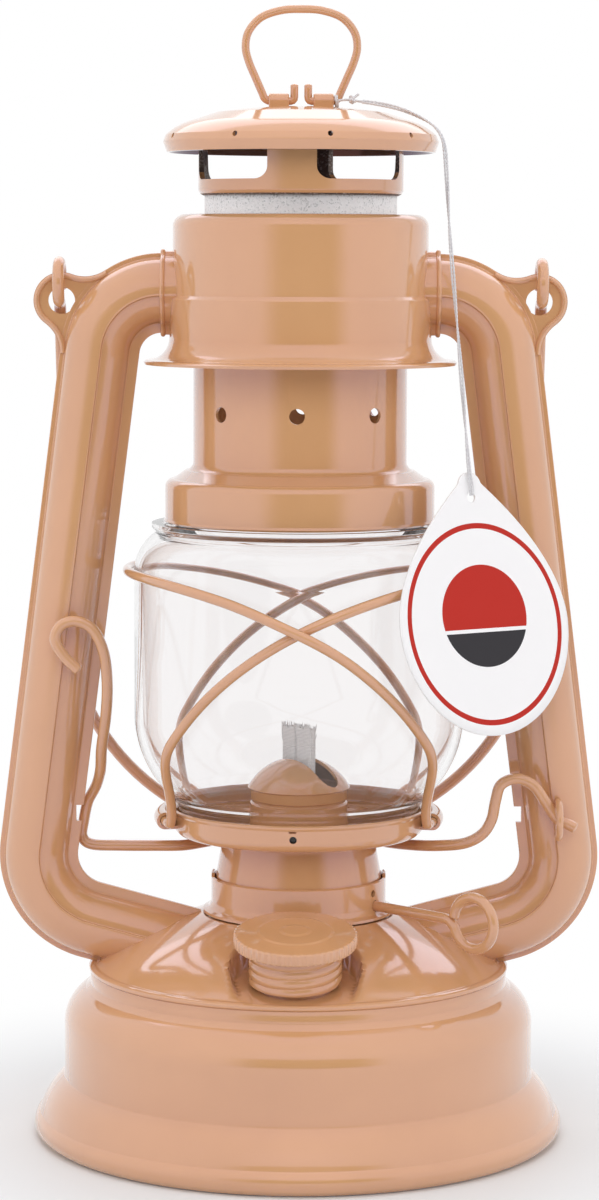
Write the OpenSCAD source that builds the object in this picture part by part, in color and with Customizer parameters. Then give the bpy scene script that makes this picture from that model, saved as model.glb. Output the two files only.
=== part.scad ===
/* [Metal] */
// Thickness of the pressed sheet
sheet_t = 0.8; // [0.6:0.05:1]
// Gap between pieces that slide, turn or sit past each other
run_gap = 0.3; // [0.2:0.05:0.4]
// Radial gap of a pin or shaft in its bore
pin_gap = 0.1; // [0.05:0.05:0.15]

/* [Tank] */
// Radius to the middle of the rolled foot bead
bead_mid_r = 63.2; // [62:0.1:66]
// Radius of the foot bead's roll
bead_roll_r = 3.4; // [2.8:0.1:4]
// Depth of the flat under the foot bead
foot_flat = 0.1; // [0.05:0.05:0.2]
// Radius of the tank's straight wall
tank_r = 59; // [57:0.5:61]
// Height where the foot's flare meets the straight wall
flare_top_z = 15; // [12:0.5:18]
// Outward swell of the foot's flare
flare_swell = 0.9; // [0.5:0.1:1.4]
// Height where the tank's shoulder begins
shoulder_z = 29; // [24:0.5:32]
// Outward swell of the tank's shoulder
shoulder_swell = 1.3; // [0.8:0.1:1.8]
// Radius of the seam band under the dome
seam_r = 52.4; // [50:0.2:54]
// Height of the seam band's foot
band_z = 38; // [36:0.5:39]
// Height of the seam between tank and dome
seam_z = 41.6; // [40.5:0.1:43]
// Height of the tank's bottom plate above the table
bottom_z = 10; // [9:0.5:11]
// Height of the plate that parts the fuel from the air
fount_z = 35; // [32:0.5:36]

/* [Dome] */
// Radius of the dome's flat top
dome_top_r = 24.5; // [24:0.1:26]
// Height of the dome's flat top
dome_top_z = 56; // [54:0.5:57]
// Outward swell of the dome
dome_swell = 1.2; // [0.6:0.1:2]
// How far the seam's edge bead stands out
lip_out = 0.4; // [0.2:0.1:0.8]

/* [Filler] */
// Sideways place of the cap's axis
cap_x = -0.7; // [-2:0.1:2]
// Distance of the cap's foot inside the tank's seam
cap_inset = 14.2; // [13.5:0.1:15]
// Depth of the filler pocket's floor below the dome's slope at the cap's axis
pocket_depth = 4.07; // [3:0.01:4.5]
// Lean of the cap towards the front
cap_tilt = 10; // [6:0.5:12]
// Radius of the pocket pressed into the dome
pocket_r = 15.6; // [14:0.1:16]
// Width of the pocket where it opens at the seam
pocket_mouth = 25; // [23:0.5:27]
// Outer radius of the filler neck
neck_r = 9.6; // [9:0.1:10]
// Height of the filler neck above the pocket's floor
neck_h = 11.3; // [10.5:0.1:12]
// Radius of the cap's milled disc
cap_r = 15; // [14:0.1:16]
// Height of the cap's milled disc
cap_rim_h = 3; // [2.5:0.1:3.5]
// Number of notches round the milled rim
cap_notches = 54; // [36:1:60]
// Outer radius of the cap's screw skirt
skirt_r = 11.4; // [11.2:0.1:11.8]
// Number of rolled ribs on the skirt
skirt_ribs = 4; // [3:1:5]
// Thickness of the cap's sealing ring
gasket_t = 1.2; // [0.8:0.1:1.6]

/* [Burner] */
// Outer radius of the collar on the dome
collar_r = 22; // [21.5:0.1:22.5]
// Height of the collar's top edge
collar_top_z = 65; // [64:0.5:66]
// Radius of the burner body under the globe plate
cone_top_r = 19.1; // [18.5:0.1:19.5]
// Height of the burner body's top
cone_top_z = 78.2; // [77.5:0.1:79]
// Radius of the burner dome
flame_r = 12.9; // [12.5:0.1:13.5]
// Height of the burner dome's edge
flame_z = 87.5; // [86:0.5:89]
// Rise of the burner dome
flame_h = 7.7; // [7:0.1:9]
// Width of the slot in the burner dome
slot_w = 5.5; // [5:0.1:6]
// Length of the slot in the burner dome
slot_l = 22; // [20:0.5:23]
// Width of the flat wick
wick_w = 10.5; // [9:0.1:11.5]
// Thickness of the flat wick
wick_t = 2.4; // [2:0.1:2.8]
// Height of the wick's top edge
wick_top_z = 104; // [100:0.5:106]
// Height of the wick's lower end in the fuel
wick_low_z = 25; // [24.5:0.5:28]
// Height of the wick shaft
shaft_z = 59.4; // [59:0.1:60]
// Turn of the wick and its shaft from the sideways axis to the front
shaft_turn = 43.2; // [40:0.1:46]
// Thickness of the wick knob's wire
knob_d = 2.6; // [2.2:0.1:2.8]
// Distance of the knob ring's middle along the shaft
knob_reach = 53.6; // [50:0.2:56]
// Radius of the knob's ring at the middle of its wire
knob_ring_r = 6.3; // [5.5:0.1:7]
// Outer radius of the spur wheels that feed the wick
spur_r = 3.6; // [3.2:0.1:4]

/* [Globe] */
// Outer radius of the globe plate
plate_r = 31.5; // [31:0.1:32.5]
// Height of the globe plate's underside
plate_z = 76; // [75.6:0.1:76.4]
// Height of the globe plate's rim
plate_rim_h = 6.5; // [5.5:0.1:7]
// Number of air holes in the plate's floor
plate_holes = 24; // [18:1:28]
// Thickness of the glass
glass_t = 2; // [1.6:0.1:2.4]
// Outer radius of the glass at its wall
glass_r = 41.3; // [40:0.1:41.3]
// Height where the glass wall becomes straight
glass_wall_z = 105; // [103:0.5:108]
// Height over which the glass closes in below its top
glass_neck_h = 14.4; // [12.5:0.1:18]
// Height of the top of the glass
glass_top_z = 154.4; // [152.5:0.1:156]
// Outer radius of the rim at the top of the glass
glass_rim_r = 36.9; // [36:0.1:38]
// Thickness of the guard wires
guard_d = 2.5; // [2:0.1:2.6]
// Radius of the guard at the middle of its wire
guard_r = 43; // [43:0.1:44]
// Greatest height of a guard wire
guard_top_z = 142.5; // [138:0.5:145]

/* [Lift lever] */
// Thickness of the lift lever's wire
lever_d = 2.8; // [2.4:0.1:2.8]
// Thickness of the staple's wire
staple_d = 1.9; // [1.6:0.1:2.1]
// Height of the lever's pivot
pivot_z = 81.2; // [80.5:0.1:82]

/* [Chimney] */
// Outer radius of the globe holder's band
holder_r = 33.6; // [33:0.1:34.5]
// Height of the globe holder above the glass
holder_h = 9.1; // [7:0.1:11]
// Outer radius of the chimney barrel
barrel_r = 26.6; // [26.2:0.1:27]
// Height of the barrel's top, where the spring sits
barrel_top_z = 200; // [197:0.5:201]
// Height of the ring of draught holes in the barrel
vent_z = 182; // [178:0.5:186]
// Diameter of the draught holes
vent_d = 3.8; // [3:0.1:4.5]
// Number of draught holes
vents = 8; // [6:1:10]
// Outer radius of the galvanised draft tube
draft_r = 23.8; // [23.4:0.1:24]

/* [Crown] */
// Radius of the crown's flared edge
crown_edge_r = 39; // [37.5:0.1:39.2]
// Height of the crown's flared edge
crown_edge_z = 194.4; // [192:0.2:195]
// Outer radius of the crown's lower band
crown_low_r = 32.6; // [32.2:0.1:33]
// Height of the swaged step between the crown's bands
crown_step_z = 210.4; // [208:0.2:212]
// Outer radius of the crown's upper band
crown_high_r = 31.7; // [31.2:0.1:32]
// Height of the crown's top
crown_top_z = 230.8; // [229:0.2:231.5]
// Radius of the crown's top corner
crown_corner_r = 3; // [2:0.1:4]
// Thickness of the chimney spring's wire
spring_d = 1.2; // [1:0.1:1.2]
// Turns of the chimney spring
spring_turns = 5.5; // [5:0.5:7]

/* [Hood] */
// Radius of the gallery that carries the hood
gallery_r = 25.4; // [25.2:0.1:26]
// Height of the gallery's lower edge
gallery_z = 235.4; // [234.6:0.1:236.5]
// Height of the gallery's band below its windows
gallery_band = 3.8; // [3:0.1:4.5]
// Width of a gallery post
post_w = 12; // [10:0.5:14]
// Turn of the gallery from the front
gallery_turn = -5; // [-10:1:10]
// Greatest radius of the hood
hood_r = 34.1; // [32.5:0.1:34.2]
// Height of the hood's lower edge
hood_z = 246; // [245:0.2:247]
// Height of the hood's top
hood_top_z = 257.3; // [256:0.1:257.3]
// Number of small vent holes round the hood
hood_vents = 9; // [6:1:12]
// Thickness of the lift ring's wire
ring_d = 2; // [1.6:0.1:2.2]
// Height of the lift ring's hinge
ring_z = 258.6; // [258.6:0.1:259.4]
// Half the width of the lift ring at the middle of its wire
ring_half_w = 13.75; // [12:0.25:15]
// Height of the lift ring above its hinge
ring_h = 22.4; // [20:0.2:24]

/* [Side tubes] */
// Radius of the tube's main bulge
tube_r = 8.3; // [8:0.1:8.6]
// Step from the main bulge down to the inner terrace
tube_step = 1; // [0.6:0.1:1.4]
// How far the outer seam flange stands out
flange_out = 1.2; // [1:0.1:2]
// How far the inner seam flange stands out
flange_in = 2.5; // [2:0.1:2.6]
// Greatest half width of the lantern across the tubes
tube_reach = 75.3; // [74:0.1:76]
// Straight length of a tube between the crown and its upper bend
tube_neck = 2.6; // [2.2:0.1:3]
// Dip of the tubes' lower run into the dome
tube_dip = 15; // [12:0.5:18]
// Height of the tubes' entry into the crown
entry_z = 211.7; // [210:0.1:213]
// Height of the lower bend's centre
low_bend_z = 70.5; // [69.5:0.1:71.5]
// Radius of the upper bend
high_bend_r = 15.85; // [15:0.05:17]
// Radius of the lower bend
low_bend_r = 17.85; // [17:0.05:19]
// Sideways place of the ears' holes
ear_x = 59.2; // [58:0.1:60]
// Height of the ears' holes
ear_z = 209.4; // [208:0.1:211]
// Outer radius of an ear
ear_r = 7; // [6.6:0.1:7.2]
// Diameter of an ear's hole
ear_hole_d = 6.6; // [6.2:0.1:7]
// Radius of the hollows between an ear and its tube
web_r = 4.5; // [3.5:0.1:6]
// Height of the catch notch in the inner flange
notch_z = 82.2; // [80:0.1:84]

/* [Bail] */
// Thickness of the bail's wire
bail_d = 3; // [2.6:0.1:3.1]
// Radius of the bail's eyes at the middle of the wire
eye_r = 4.85; // [4.8:0.05:5.2]
// Radius of the bend between an eye and its neck
eye_bend_r = 2.5; // [2:0.1:3]
// Lean of the necks against the bail's legs
neck_lean = 8; // [7.5:0.1:9]
// Length of the bail's legs, from the eyes' height
bail_leg = 89.4; // [84:0.1:94]
// Tilt of the bail where it hangs behind the lantern
bail_tilt = 12; // [11:0.5:14]

/* [Tag] */
// Radius of the tag's round end
tag_r = 25.2; // [20:0.2:26]
// Distance from the tag's hole to the middle of its round end
tag_drop = 33; // [30:0.5:35]
// Thickness of the tag's card
tag_t = 0.6; // [0.4:0.1:0.8]
// Diameter of the tag's string
string_d = 1.2; // [0.8:0.1:1.4]

/* [Hidden] */
$fn = 72;
paint = "#cd9e78";

// Foot and tank
bead_c = [bead_mid_r, bead_roll_r - foot_flat];
bead_end = bead_c + bead_roll_r * [cos(55), sin(55)];
band_top = [seam_r + 1.2, band_z - 0.8];
dome_edge = [seam_r - 1.4, seam_z + 1.7];
flare_share = (bottom_z - bead_end[1]) / (flare_top_z - bead_end[1]);
bottom_r = bead_end[0] + (tank_r - bead_end[0]) * flare_share + flare_swell - 1.2 * sheet_t;

// Cap and filler
skirt_t = 1;
cap_y = max(seam_r - cap_inset, collar_r + cap_r + run_gap);
slope_share = (dome_edge[0] - cap_y) / (dome_edge[0] - dome_top_r);
cap_z = dome_edge[1] + (dome_top_z - dome_edge[1]) * slope_share - pocket_depth;
neck_sink = (cap_z - fount_z) / cos(cap_tilt) + neck_r * tan(cap_tilt) + 2;

// Burner
shaft_off = wick_t / 2 + run_gap + spur_r;
body_r = collar_r - sheet_t - run_gap;
skirt_flame_r = flame_r - 0.5;
wick_seat_z = dome_top_z - 10;
seat_r = 13;

// Globe
foot_glass_r = plate_r - sheet_t - run_gap - 0.2;
glass_foot_z = plate_z + sheet_t + run_gap + 1.2;
plate_hole_r = cone_top_r + run_gap;
lug_r = plate_r + 2.8;
lug_z = plate_z + 4.2;
lug_half = 14;
guard_foot = 22;

// Globe holder, draft tube, gallery and hood
glass_shoulder_z = glass_top_z - glass_neck_h;
holder_top_z = glass_top_z + holder_h;
lip_z = glass_top_z + 2 * run_gap;
hood_mid_z = hood_z + 2.5;

// Side tubes
tube_out = tube_r + flange_out;
terrace_r = tube_r - tube_step;
terrace_u = -0.4;
step_u = -1;
tube_in = terrace_r - terrace_u + flange_in;
low_c = [-(tube_reach - low_bend_r - tube_out), low_bend_z];
high_c = [-(crown_high_r + tube_neck), entry_z - high_bend_r];
bend_span = high_c - low_c;
tube_lean = atan2(bend_span[0], bend_span[1]) + asin((low_bend_r - high_bend_r) / norm(bend_span));
outward = [-cos(tube_lean), sin(tube_lean)];
upward = [sin(tube_lean), cos(tube_lean)];
run_foot = low_c + low_bend_r * outward;
run_l = norm(high_c + high_bend_r * outward - run_foot);
dip_end = low_c + low_bend_r * [cos(270 - tube_dip), sin(270 - tube_dip)];
dip_x = -(collar_r + 5.2);
dip_tip = [dip_x, dip_end[1] - (dip_x - dip_end[0]) * tan(tube_dip)];
dip_l = norm(dip_end - dip_tip);
stub_end = crown_high_r - sheet_t - 1.5;
sleeve_l = 2;

// Lift lever
pivot_x = -(run_foot + upward * (pivot_z - run_foot[1]) / upward[1])[0];
pivot_y = -(tube_r + lever_d / 2 + 1.2);
// Ways of the lever's wire from its pivot, drawn for tubes that lie this far from the axis
lever_span = 64.6;
lever_route = [
    [4, -0.5, -1.8], [2, -0.2, -0.8], [0, 0, 0], [-1.8, 0, 2.2], [-3.6, 0, 5], [-6.4, 0, 8.8],
    [-10.6, 0, 10.4], [-14.4, 0, 8.8], [-15.7, 0, 4.8], [-16.6, 0.1, 0.2], [-18.8, 0.6, -3.6], [-23, 2, -6.2],
    [-29, 5, -7.4], [-35, 10, -8.2], [-41, 19, -9.2], [-46.2, 25.5, -9.2], [-53, 31.4, -8.5], [-59, 34, -7.4],
    [-65, 35, -6.9], [-71, 34, -7.4], [-77, 31.4, -8.5], [-83.8, 25.5, -9.2], [-88.6, 19.5, -9.2],
    [-94, 14.6, -9.2], [-101, 14, -9.2], [-110, 14, -9.2], [-117, 14.6, -9], [-119.4, 14.8, -7], [-119, 14.8, -3],
    [-117.9, 14.4, 2], [-115.7, 12, 6.4], [-114.4, 8.6, 11], [-113.9, 5.6, 17], [-112.6, 2.4, 26], [-112.2, 0.6, 34],
    [-113, -0.3, 41.5], [-115.6, -0.6, 47.2], [-119.6, -0.7, 49.4], [-123.4, -0.7, 48.4], [-125, -0.7, 45],
    [-123, -0.6, 41], [-119.4, -0.4, 37.4],
];
lever_way = [for (p = lever_route) [p[0] * pivot_x / lever_span, p[1], p[2]]];

// Bail
bail_x = ear_x + 0.6;
bail_z = ear_z + ear_r + 3 * run_gap - (eye_r - bail_d / 2);

// Lift ring
boss_in = 3;
boss_out = 8;
prong_x = boss_in - run_gap - ring_d / 2;

// Tag and string
tag_hole = [41.3, -22.2, 162.3];
tag_yaw = 33;
tag_lean = 12;
knot_c = [13.4, -1.8, 259];
knot_r = 1.6;
string_route = [
    [15.1, -2.3, 258.4], [18, -3.2, 258], [22, -4.5, 257.2], [26, -5.8, 255.9], [30, -7.1, 254],
    [32.8, -8, 252], [34.5, -8.6, 249.4], [35.2, -9.1, 246], [35.6, -10, 240], [36.4, -12.1, 226],
    [37.6, -14.4, 211], [38.8, -16.8, 197], [40, -19.5, 182], [41, -22.1, 170], [41.6, -23.1, 165.5], [41.7, -23.5, 163],
];

// Plane curves and paths
function unit(v) = v / norm(v);
function left_of(v) = [-v[1], v[0]];
function reversed(list) = [for (i = [len(list) - 1:-1:0]) list[i]];
function rest(list) = [for (i = [1:len(list) - 1]) list[i]];
function turn(centre, r, from, to, steps = 8) =
    [for (i = [0:steps]) let (a = from + (to - from) * i / steps) centre + r * [cos(a), sin(a)]];
function arc(p, q, swell, steps = 8) =
    let (along = unit(q - p), out = left_of(along) * sign(swell), chord = norm(q - p), high = abs(swell))
    let (r = (chord * chord / 4 + high * high) / (2 * high), half = asin(chord / 2 / r))
    let (centre = (p + q) / 2 + out * (high - r))
    [for (i = [0:steps]) let (a = half * (2 * i / steps - 1)) centre + r * (cos(a) * out + sin(a) * along)];
function meeting(p, q, a, b, side) =
    let (span = norm(q - p), along = unit(q - p), x = (a * a - b * b + span * span) / (2 * span))
    p + x * along + side * sqrt(a * a - x * x) * left_of(along);
function aside(path, t) =
    [for (i = [0:len(path) - 1])
        let (before = unit(path[max(i, 1)] - path[max(i, 1) - 1]))
        let (after = unit(path[min(i, len(path) - 2) + 1] - path[min(i, len(path) - 2)]))
        let (side = unit(left_of(before) + left_of(after)))
        path[i] + side * t / max(0.5, side * left_of(after))];

// Space curves: a smooth way through given points, and the wire swept along a way
function through(p, parts) =
    [for (i = [0:len(p) - 2], j = [0:parts - 1])
        let (a = p[max(i - 1, 0)], b = p[i], c = p[i + 1], d = p[min(i + 2, len(p) - 1)], t = j / parts)
        (2 * b + (c - a) * t + (2 * a - 5 * b + 4 * c - d) * t * t + (3 * b - a - 3 * c + d) * t * t * t) / 2,
    p[len(p) - 1]];
function across(v) = unit(cross(v, abs(v[2]) < 0.8 ? [0, 0, 1] : [1, 0, 0]));
function step_ease(x) = x <= 0 ? 0 : x >= 1 ? 1 : x * x * (3 - 2 * x);

module swept(way, d, sides = 8) {
    n = len(way);
    ahead = [for (i = [0:n - 1]) unit(way[min(i + 1, n - 1)] - way[max(i - 1, 0)])];
    side = [for (i = 0, v = across(ahead[0]); i < n;
        v = i + 1 < n ? unit(v - (v * ahead[i + 1]) * ahead[i + 1]) : v, i = i + 1) v];
    skin = [for (i = [0:n - 1], j = [0:sides - 1]) let (a = 360 * j / sides)
        way[i] + d / 2 * (cos(a) * side[i] + sin(a) * cross(ahead[i], side[i]))];
    wall = [for (i = [0:n - 2], j = [0:sides - 1], upper = [0, 1])
        let (k = (j + 1) % sides, a = i * sides, b = a + sides)
        upper == 0 ? [a + j, b + j, b + k] : [a + j, b + k, a + k]];
    foot = [for (j = [1:sides - 2]) [0, j, j + 1]];
    head = [for (j = [1:sides - 2]) [0, j + 1, j] + (n - 1) * sides * [1, 1, 1]];
    polyhedron(skin, concat(wall, foot, head));
}

// Revolved sheet and revolved solid from an outline given from its foot to its head
module pressed(path, t = sheet_t) {
    inner = [for (p = aside(path, t)) [max(p[0], 0), p[1]]];
    rotate_extrude() polygon(concat(path, reversed(inner)));
}
module filled(path) {
    outer = [for (p = path) [max(p[0], 0), p[1]]];
    rotate_extrude() polygon(concat([[0, path[0][1]]], outer, [[0, path[len(path) - 1][1]]]));
}

// Lays the drawing plane upright: its x stays, its y points up and its z to the front
module upright() {
    rotate([90, 0, 0]) children();
}
module mirrored_x(on) {
    mirror([on ? 1 : 0, 0, 0]) children();
}

// Tank
tank_path = concat(
    turn(bead_c, bead_roll_r, -170, 55, 20),
    rest(arc(bead_end, [tank_r, flare_top_z], -flare_swell)),
    arc([tank_r, shoulder_z], band_top, -shoulder_swell),
    [[seam_r, band_z + 0.6], [seam_r, seam_z]]
);
module tank_shell() {
    color(paint) difference() {
        pressed(tank_path);
        translate([0, 0, -bead_roll_r]) cylinder(r = bead_mid_r + 2 * bead_roll_r, h = bead_roll_r);
    }
}
module tank_bottom() {
    color("#b98c69") pressed([
        [bottom_r, bottom_z - 1.8], [bottom_r, bottom_z], [0.68 * bottom_r, bottom_z],
        [0.62 * bottom_r, bottom_z + 1.5], [0, bottom_z + 1.5]
    ]);
}
module fount_top() {
    color("#b9b7b0") difference() {
        pressed([
            [seam_r - 2 * sheet_t - run_gap, seam_z - 0.6], [seam_r - 5, fount_z + sheet_t], [seat_r + 0.4, fount_z + sheet_t],
            [seat_r - sheet_t, fount_z + 2], [seat_r - sheet_t, wick_seat_z]
        ]);
        in_cap() translate([0, 0, -neck_sink - 5]) cylinder(r = neck_r, h = neck_sink + 5);
    }
}
dome_rise = concat(
    arc(dome_edge, [dome_top_r, dome_top_z], -dome_swell),
    [[body_r - 0.4, dome_top_z + 0.1]]
);
dome_path = concat(
    [[seam_r, seam_z], [seam_r, seam_z + 0.3], [seam_r + lip_out, seam_z + 0.6],
     [seam_r + lip_out, seam_z + 1.2], [seam_r - 0.3, seam_z + 1.6]],
    dome_rise
);
dome_inner = concat(
    [[seam_r - sheet_t, seam_z], [seam_r - sheet_t, seam_z + 0.5]],
    aside(dome_rise, sheet_t)
);
module in_cap() {
    translate([cap_x, -cap_y, cap_z]) rotate([cap_tilt, 0, 0]) children();
}
module pocket(grow) {
    tall = 30;
    out = seam_r - cap_y + 8;
    in_cap() translate([0, 0, -grow]) {
        cylinder(r = pocket_r + grow, h = tall);
        linear_extrude(tall) polygon([
            [0.2 - pocket_r - grow, 0], [-pocket_mouth / 2 - grow, -out],
            [pocket_mouth / 2 + grow, -out], [pocket_r + grow - 0.2, 0]
        ]);
    }
}
module tank_dome() {
    color(paint) difference() {
        rotate_extrude() polygon(concat(dome_path, reversed(dome_inner)));
        pocket(sheet_t);
        for (right = [false, true]) mirrored_x(right) upright() dip_run() tube_sleeve_outline(0);
    }
}
module filler_pocket() {
    color(paint) difference() {
        intersection() {
            pocket(sheet_t);
            filled(dome_path);
        }
        pocket(0);
        in_cap() translate([0, 0, -5]) cylinder(r = neck_r, h = 10);
    }
}
module filler_neck() {
    color("#c9c8c3") in_cap() difference() {
        translate([0, 0, -neck_sink]) cylinder(r = neck_r, h = neck_sink + neck_h);
        translate([0, 0, -neck_sink - 1]) cylinder(r = neck_r - sheet_t, h = neck_sink + neck_h + 2);
    }
}

// Cap
module fuel_cap() {
    top = neck_h + run_gap / 10 + gasket_t;
    low = top + sheet_t - cap_rim_h;
    foot = 1.2;
    rib_h = (low - foot) / skirt_ribs;
    notch = 0.35;
    ribs = [for (i = [0:8 * skirt_ribs]) [skirt_r - 0.4 * (1 - abs(sin(22.5 * i))), foot + rib_h * i / 8]];
    rim = [for (i = [0:2 * cap_notches - 1]) let (a = 180 * i / cap_notches)
        (cap_r - (i % 2) * notch) * [cos(a), sin(a)]];
    color(paint) in_cap() {
        translate([0, 0, low]) difference() {
            linear_extrude(cap_rim_h) polygon(rim);
            translate([0, 0, -1]) cylinder(r = cap_r - 2 * sheet_t, h = cap_rim_h - sheet_t + 1);
        }
        rotate_extrude() polygon([
            [0, top], [0, top + 1.5], [3, top + 1.5], [4, top + 1.3], [8.6, top + 1.3], [9.4, top + 1.1],
            [cap_r - 1.6, top + sheet_t], [cap_r - 1.6, top]
        ]);
        rotate_extrude() polygon(concat(
            [[skirt_r - skirt_t, foot]], ribs, [[skirt_r, top + 0.2], [skirt_r - skirt_t, top + 0.2]]
        ));
    }
}
module cap_gasket() {
    color("#4a4038") in_cap() translate([0, 0, neck_h + run_gap / 20]) difference() {
        cylinder(r = skirt_r - skirt_t - run_gap / 3, h = gasket_t);
        translate([0, 0, -1]) cylinder(r = neck_r - 2.5, h = gasket_t + 2);
    }
}

// Burner
module in_shaft() {
    translate([0, 0, shaft_z]) rotate([0, 0, -shaft_turn]) translate([0, shaft_off, 0]) children();
}
module along_x(r, from, to) {
    translate([from, 0, 0]) rotate([0, 90, 0]) cylinder(r = r, h = to - from);
}
module burner_collar() {
    tab_w = 5;
    color(paint) difference() {
        union() {
            pressed([
                [collar_r + 2, dome_top_z + 0.2 + sheet_t], [collar_r + 0.5, dome_top_z + 0.9 + sheet_t],
                [collar_r, dome_top_z + 2 + sheet_t], [collar_r, collar_top_z]
            ]);
            for (side = [-1, 1]) intersection() {
                translate([0, 0, collar_top_z - 1]) difference() {
                    cylinder(r = collar_r, h = 2.2);
                    translate([0, 0, -1]) cylinder(r = collar_r - sheet_t, h = 5);
                }
                translate([side * collar_r - 3, -tab_w / 2, collar_top_z - 2]) cube([6, tab_w, 5]);
            }
        }
        in_shaft() along_x(knob_d / 2 + pin_gap, 0, 40);
        rotate([0, 0, 12 - shaft_turn]) translate([0, 0, collar_top_z - 2.4]) along_x(0.7, 0, 40);
    }
}
module burner_body() {
    color(paint) difference() {
        pressed(concat(
            [[body_r, dome_top_z + 0.6], [body_r, collar_top_z]],
            arc([cone_top_r, plate_z - 1], [flame_r + 1.5, cone_top_z], -1.2, 6),
            [[skirt_flame_r - 2, cone_top_z]]
        ));
        in_shaft() along_x(knob_d / 2 + run_gap, 0, 40);
    }
}
module burner_dome() {
    cap_sphere_r = (flame_r * flame_r + flame_h * flame_h) / (2 * flame_h);
    centre_z = flame_z + flame_h - cap_sphere_r;
    low = asin((flame_z - centre_z) / cap_sphere_r);
    groove_z = flame_z - 3.6;
    color(paint) difference() {
        pressed(concat(
            [[skirt_flame_r, cone_top_z + 0.1], [skirt_flame_r, groove_z - 0.7],
             [skirt_flame_r - 0.6, groove_z - 0.3], [skirt_flame_r - 0.6, groove_z + 0.3],
             [skirt_flame_r, groove_z + 0.7], [skirt_flame_r, flame_z - 0.4]],
            turn([0, centre_z], cap_sphere_r, low, 90, 10)
        ));
        rotate([0, 0, -shaft_turn]) translate([0, 0, flame_z + 0.8]) linear_extrude(20) {
            square([slot_l - slot_w, slot_w], center = true);
            for (s = [-1, 1]) translate([s * (slot_l - slot_w) / 2, 0]) circle(d = slot_w);
        }
        for (a = [20:60:360]) rotate([0, 0, a - shaft_turn]) translate([0, 0, cone_top_z + 2.4]) along_x(0.9, 8, 16);
    }
}
module wick_section(grow) {
    square([wick_w - wick_t, wick_t + 2 * grow], center = true);
    for (s = [-1, 1]) translate([s * (wick_w - wick_t) / 2, 0]) circle(d = wick_t + 2 * grow);
}
module wick_tube() {
    wall = 0.6;
    top = flame_z + 3;
    color("#b9a27c") difference() {
        rotate([0, 0, -shaft_turn]) difference() {
            union() {
                translate([0, 0, fount_z - 3]) linear_extrude(top - fount_z + 3) wick_section(run_gap + wall);
                translate([0, 0, wick_seat_z]) cylinder(r = seat_r, h = sheet_t);
            }
            translate([0, 0, fount_z - 4]) linear_extrude(top - fount_z + 8) wick_section(run_gap);
        }
        in_shaft() translate([-4, -spur_r - run_gap - 0.1, -spur_r - 0.6]) cube([8, 5, 2 * spur_r + 1.2]);
    }
}
module wick() {
    color("#f2efe6") rotate([0, 0, -shaft_turn]) translate([0, 0, wick_low_z])
        linear_extrude(wick_top_z - wick_low_z) wick_section(0);
}
module wick_knob() {
    color(paint) in_shaft() {
        along_x(knob_d / 2, -5, knob_reach - knob_ring_r);
        translate([knob_reach, 0, 0]) rotate([90, 0, 0]) rotate_extrude(start = 180, angle = 332)
            translate([knob_ring_r, 0]) circle(d = knob_d);
    }
}
module spur_wheels() {
    teeth = 14;
    star = [for (i = [0:2 * teeth - 1]) let (a = 180 * i / teeth) (spur_r - (i % 2) * 0.8) * [cos(a), sin(a)]];
    color("#c9c8c3") in_shaft() for (x = [-2.6, 1.6]) translate([x, 0, 0]) rotate([0, 90, 0]) difference() {
        linear_extrude(1) polygon(star);
        translate([0, 0, -1]) cylinder(d = knob_d, h = 3);
    }
}

// Globe and its carrier
module globe_plate() {
    floor_r = plate_r - 2.6;
    color(paint) difference() {
        union() {
            pressed(concat(
                [[plate_hole_r, plate_z]],
                arc([floor_r, plate_z], [plate_r, plate_z + 2.6], -0.75, 6),
                [[plate_r, plate_z + plate_rim_h - 0.8], [plate_r + 0.4, plate_z + plate_rim_h]]
            ));
            for (a = [0, 180]) rotate_extrude(start = a - lug_half, angle = 2 * lug_half) difference() {
                union() {
                    translate([lug_r, lug_z]) circle(d = guard_d + 2);
                    translate([plate_r - sheet_t / 2, lug_z - 1.4]) square([1.6, 1.6]);
                }
                translate([lug_r, lug_z]) circle(d = guard_d + 0.1);
            }
        }
        for (i = [1:plate_holes]) rotate([0, 0, 360 * i / plate_holes])
            translate([(plate_hole_r + floor_r) / 2 + 0.6, 0, plate_z - 1]) cylinder(d = 2.6, h = 4);
        rotate([0, 0, -92.5]) translate([0, 0, plate_z + 3.4]) along_x(0.9, plate_r - 4, plate_r + 4);
        translate([-2.4, -plate_r - 1, plate_z + 5]) cube([1.8, 3, 0.6]);
    }
}
glass_path = concat(
    [[foot_glass_r, glass_foot_z], [foot_glass_r, plate_z + plate_rim_h + 0.6]],
    arc([foot_glass_r + 1.2, plate_z + plate_rim_h + 2.6], [glass_r, glass_wall_z], -2.2, 10),
    arc([glass_r, glass_shoulder_z], [glass_rim_r - 1.2, glass_top_z - 2.2], -2, 8),
    [[glass_rim_r, glass_top_z - 1.2], [glass_rim_r, glass_top_z]]
);
module glass_globe() {
    inner = aside(glass_path, glass_t);
    n = len(inner);
    color("#dfe8ec", 0.35) rotate_extrude() polygon(concat(
        glass_path, [[holder_r - 1, glass_top_z], [holder_r - 1, glass_top_z - glass_t - 0.8]],
        [for (i = [n - 4:-1:0]) inner[i]]
    ));
}
function guard_way(side, over) =
    [for (a = [10:5:350])
        let (b = min(a, 360 - a), q = (180 - max(b, guard_foot)) / (180 - guard_foot))
        let (cross_gap = min(abs(b - 90) / 24, 1))
        let (r = lug_r + (guard_r - lug_r) * step_ease((b - guard_foot) / 22) + over * (1 + cos(180 * cross_gap)) / 2)
        [side * r * cos(a), -r * sin(a), guard_top_z - (guard_top_z - lug_z) * q * q * q]];
module left_guard_wire() {
    color(paint) swept(guard_way(-1, 0), guard_d);
}
module right_guard_wire() {
    color(paint) swept(guard_way(1, guard_d + 0.1), guard_d);
}

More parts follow.
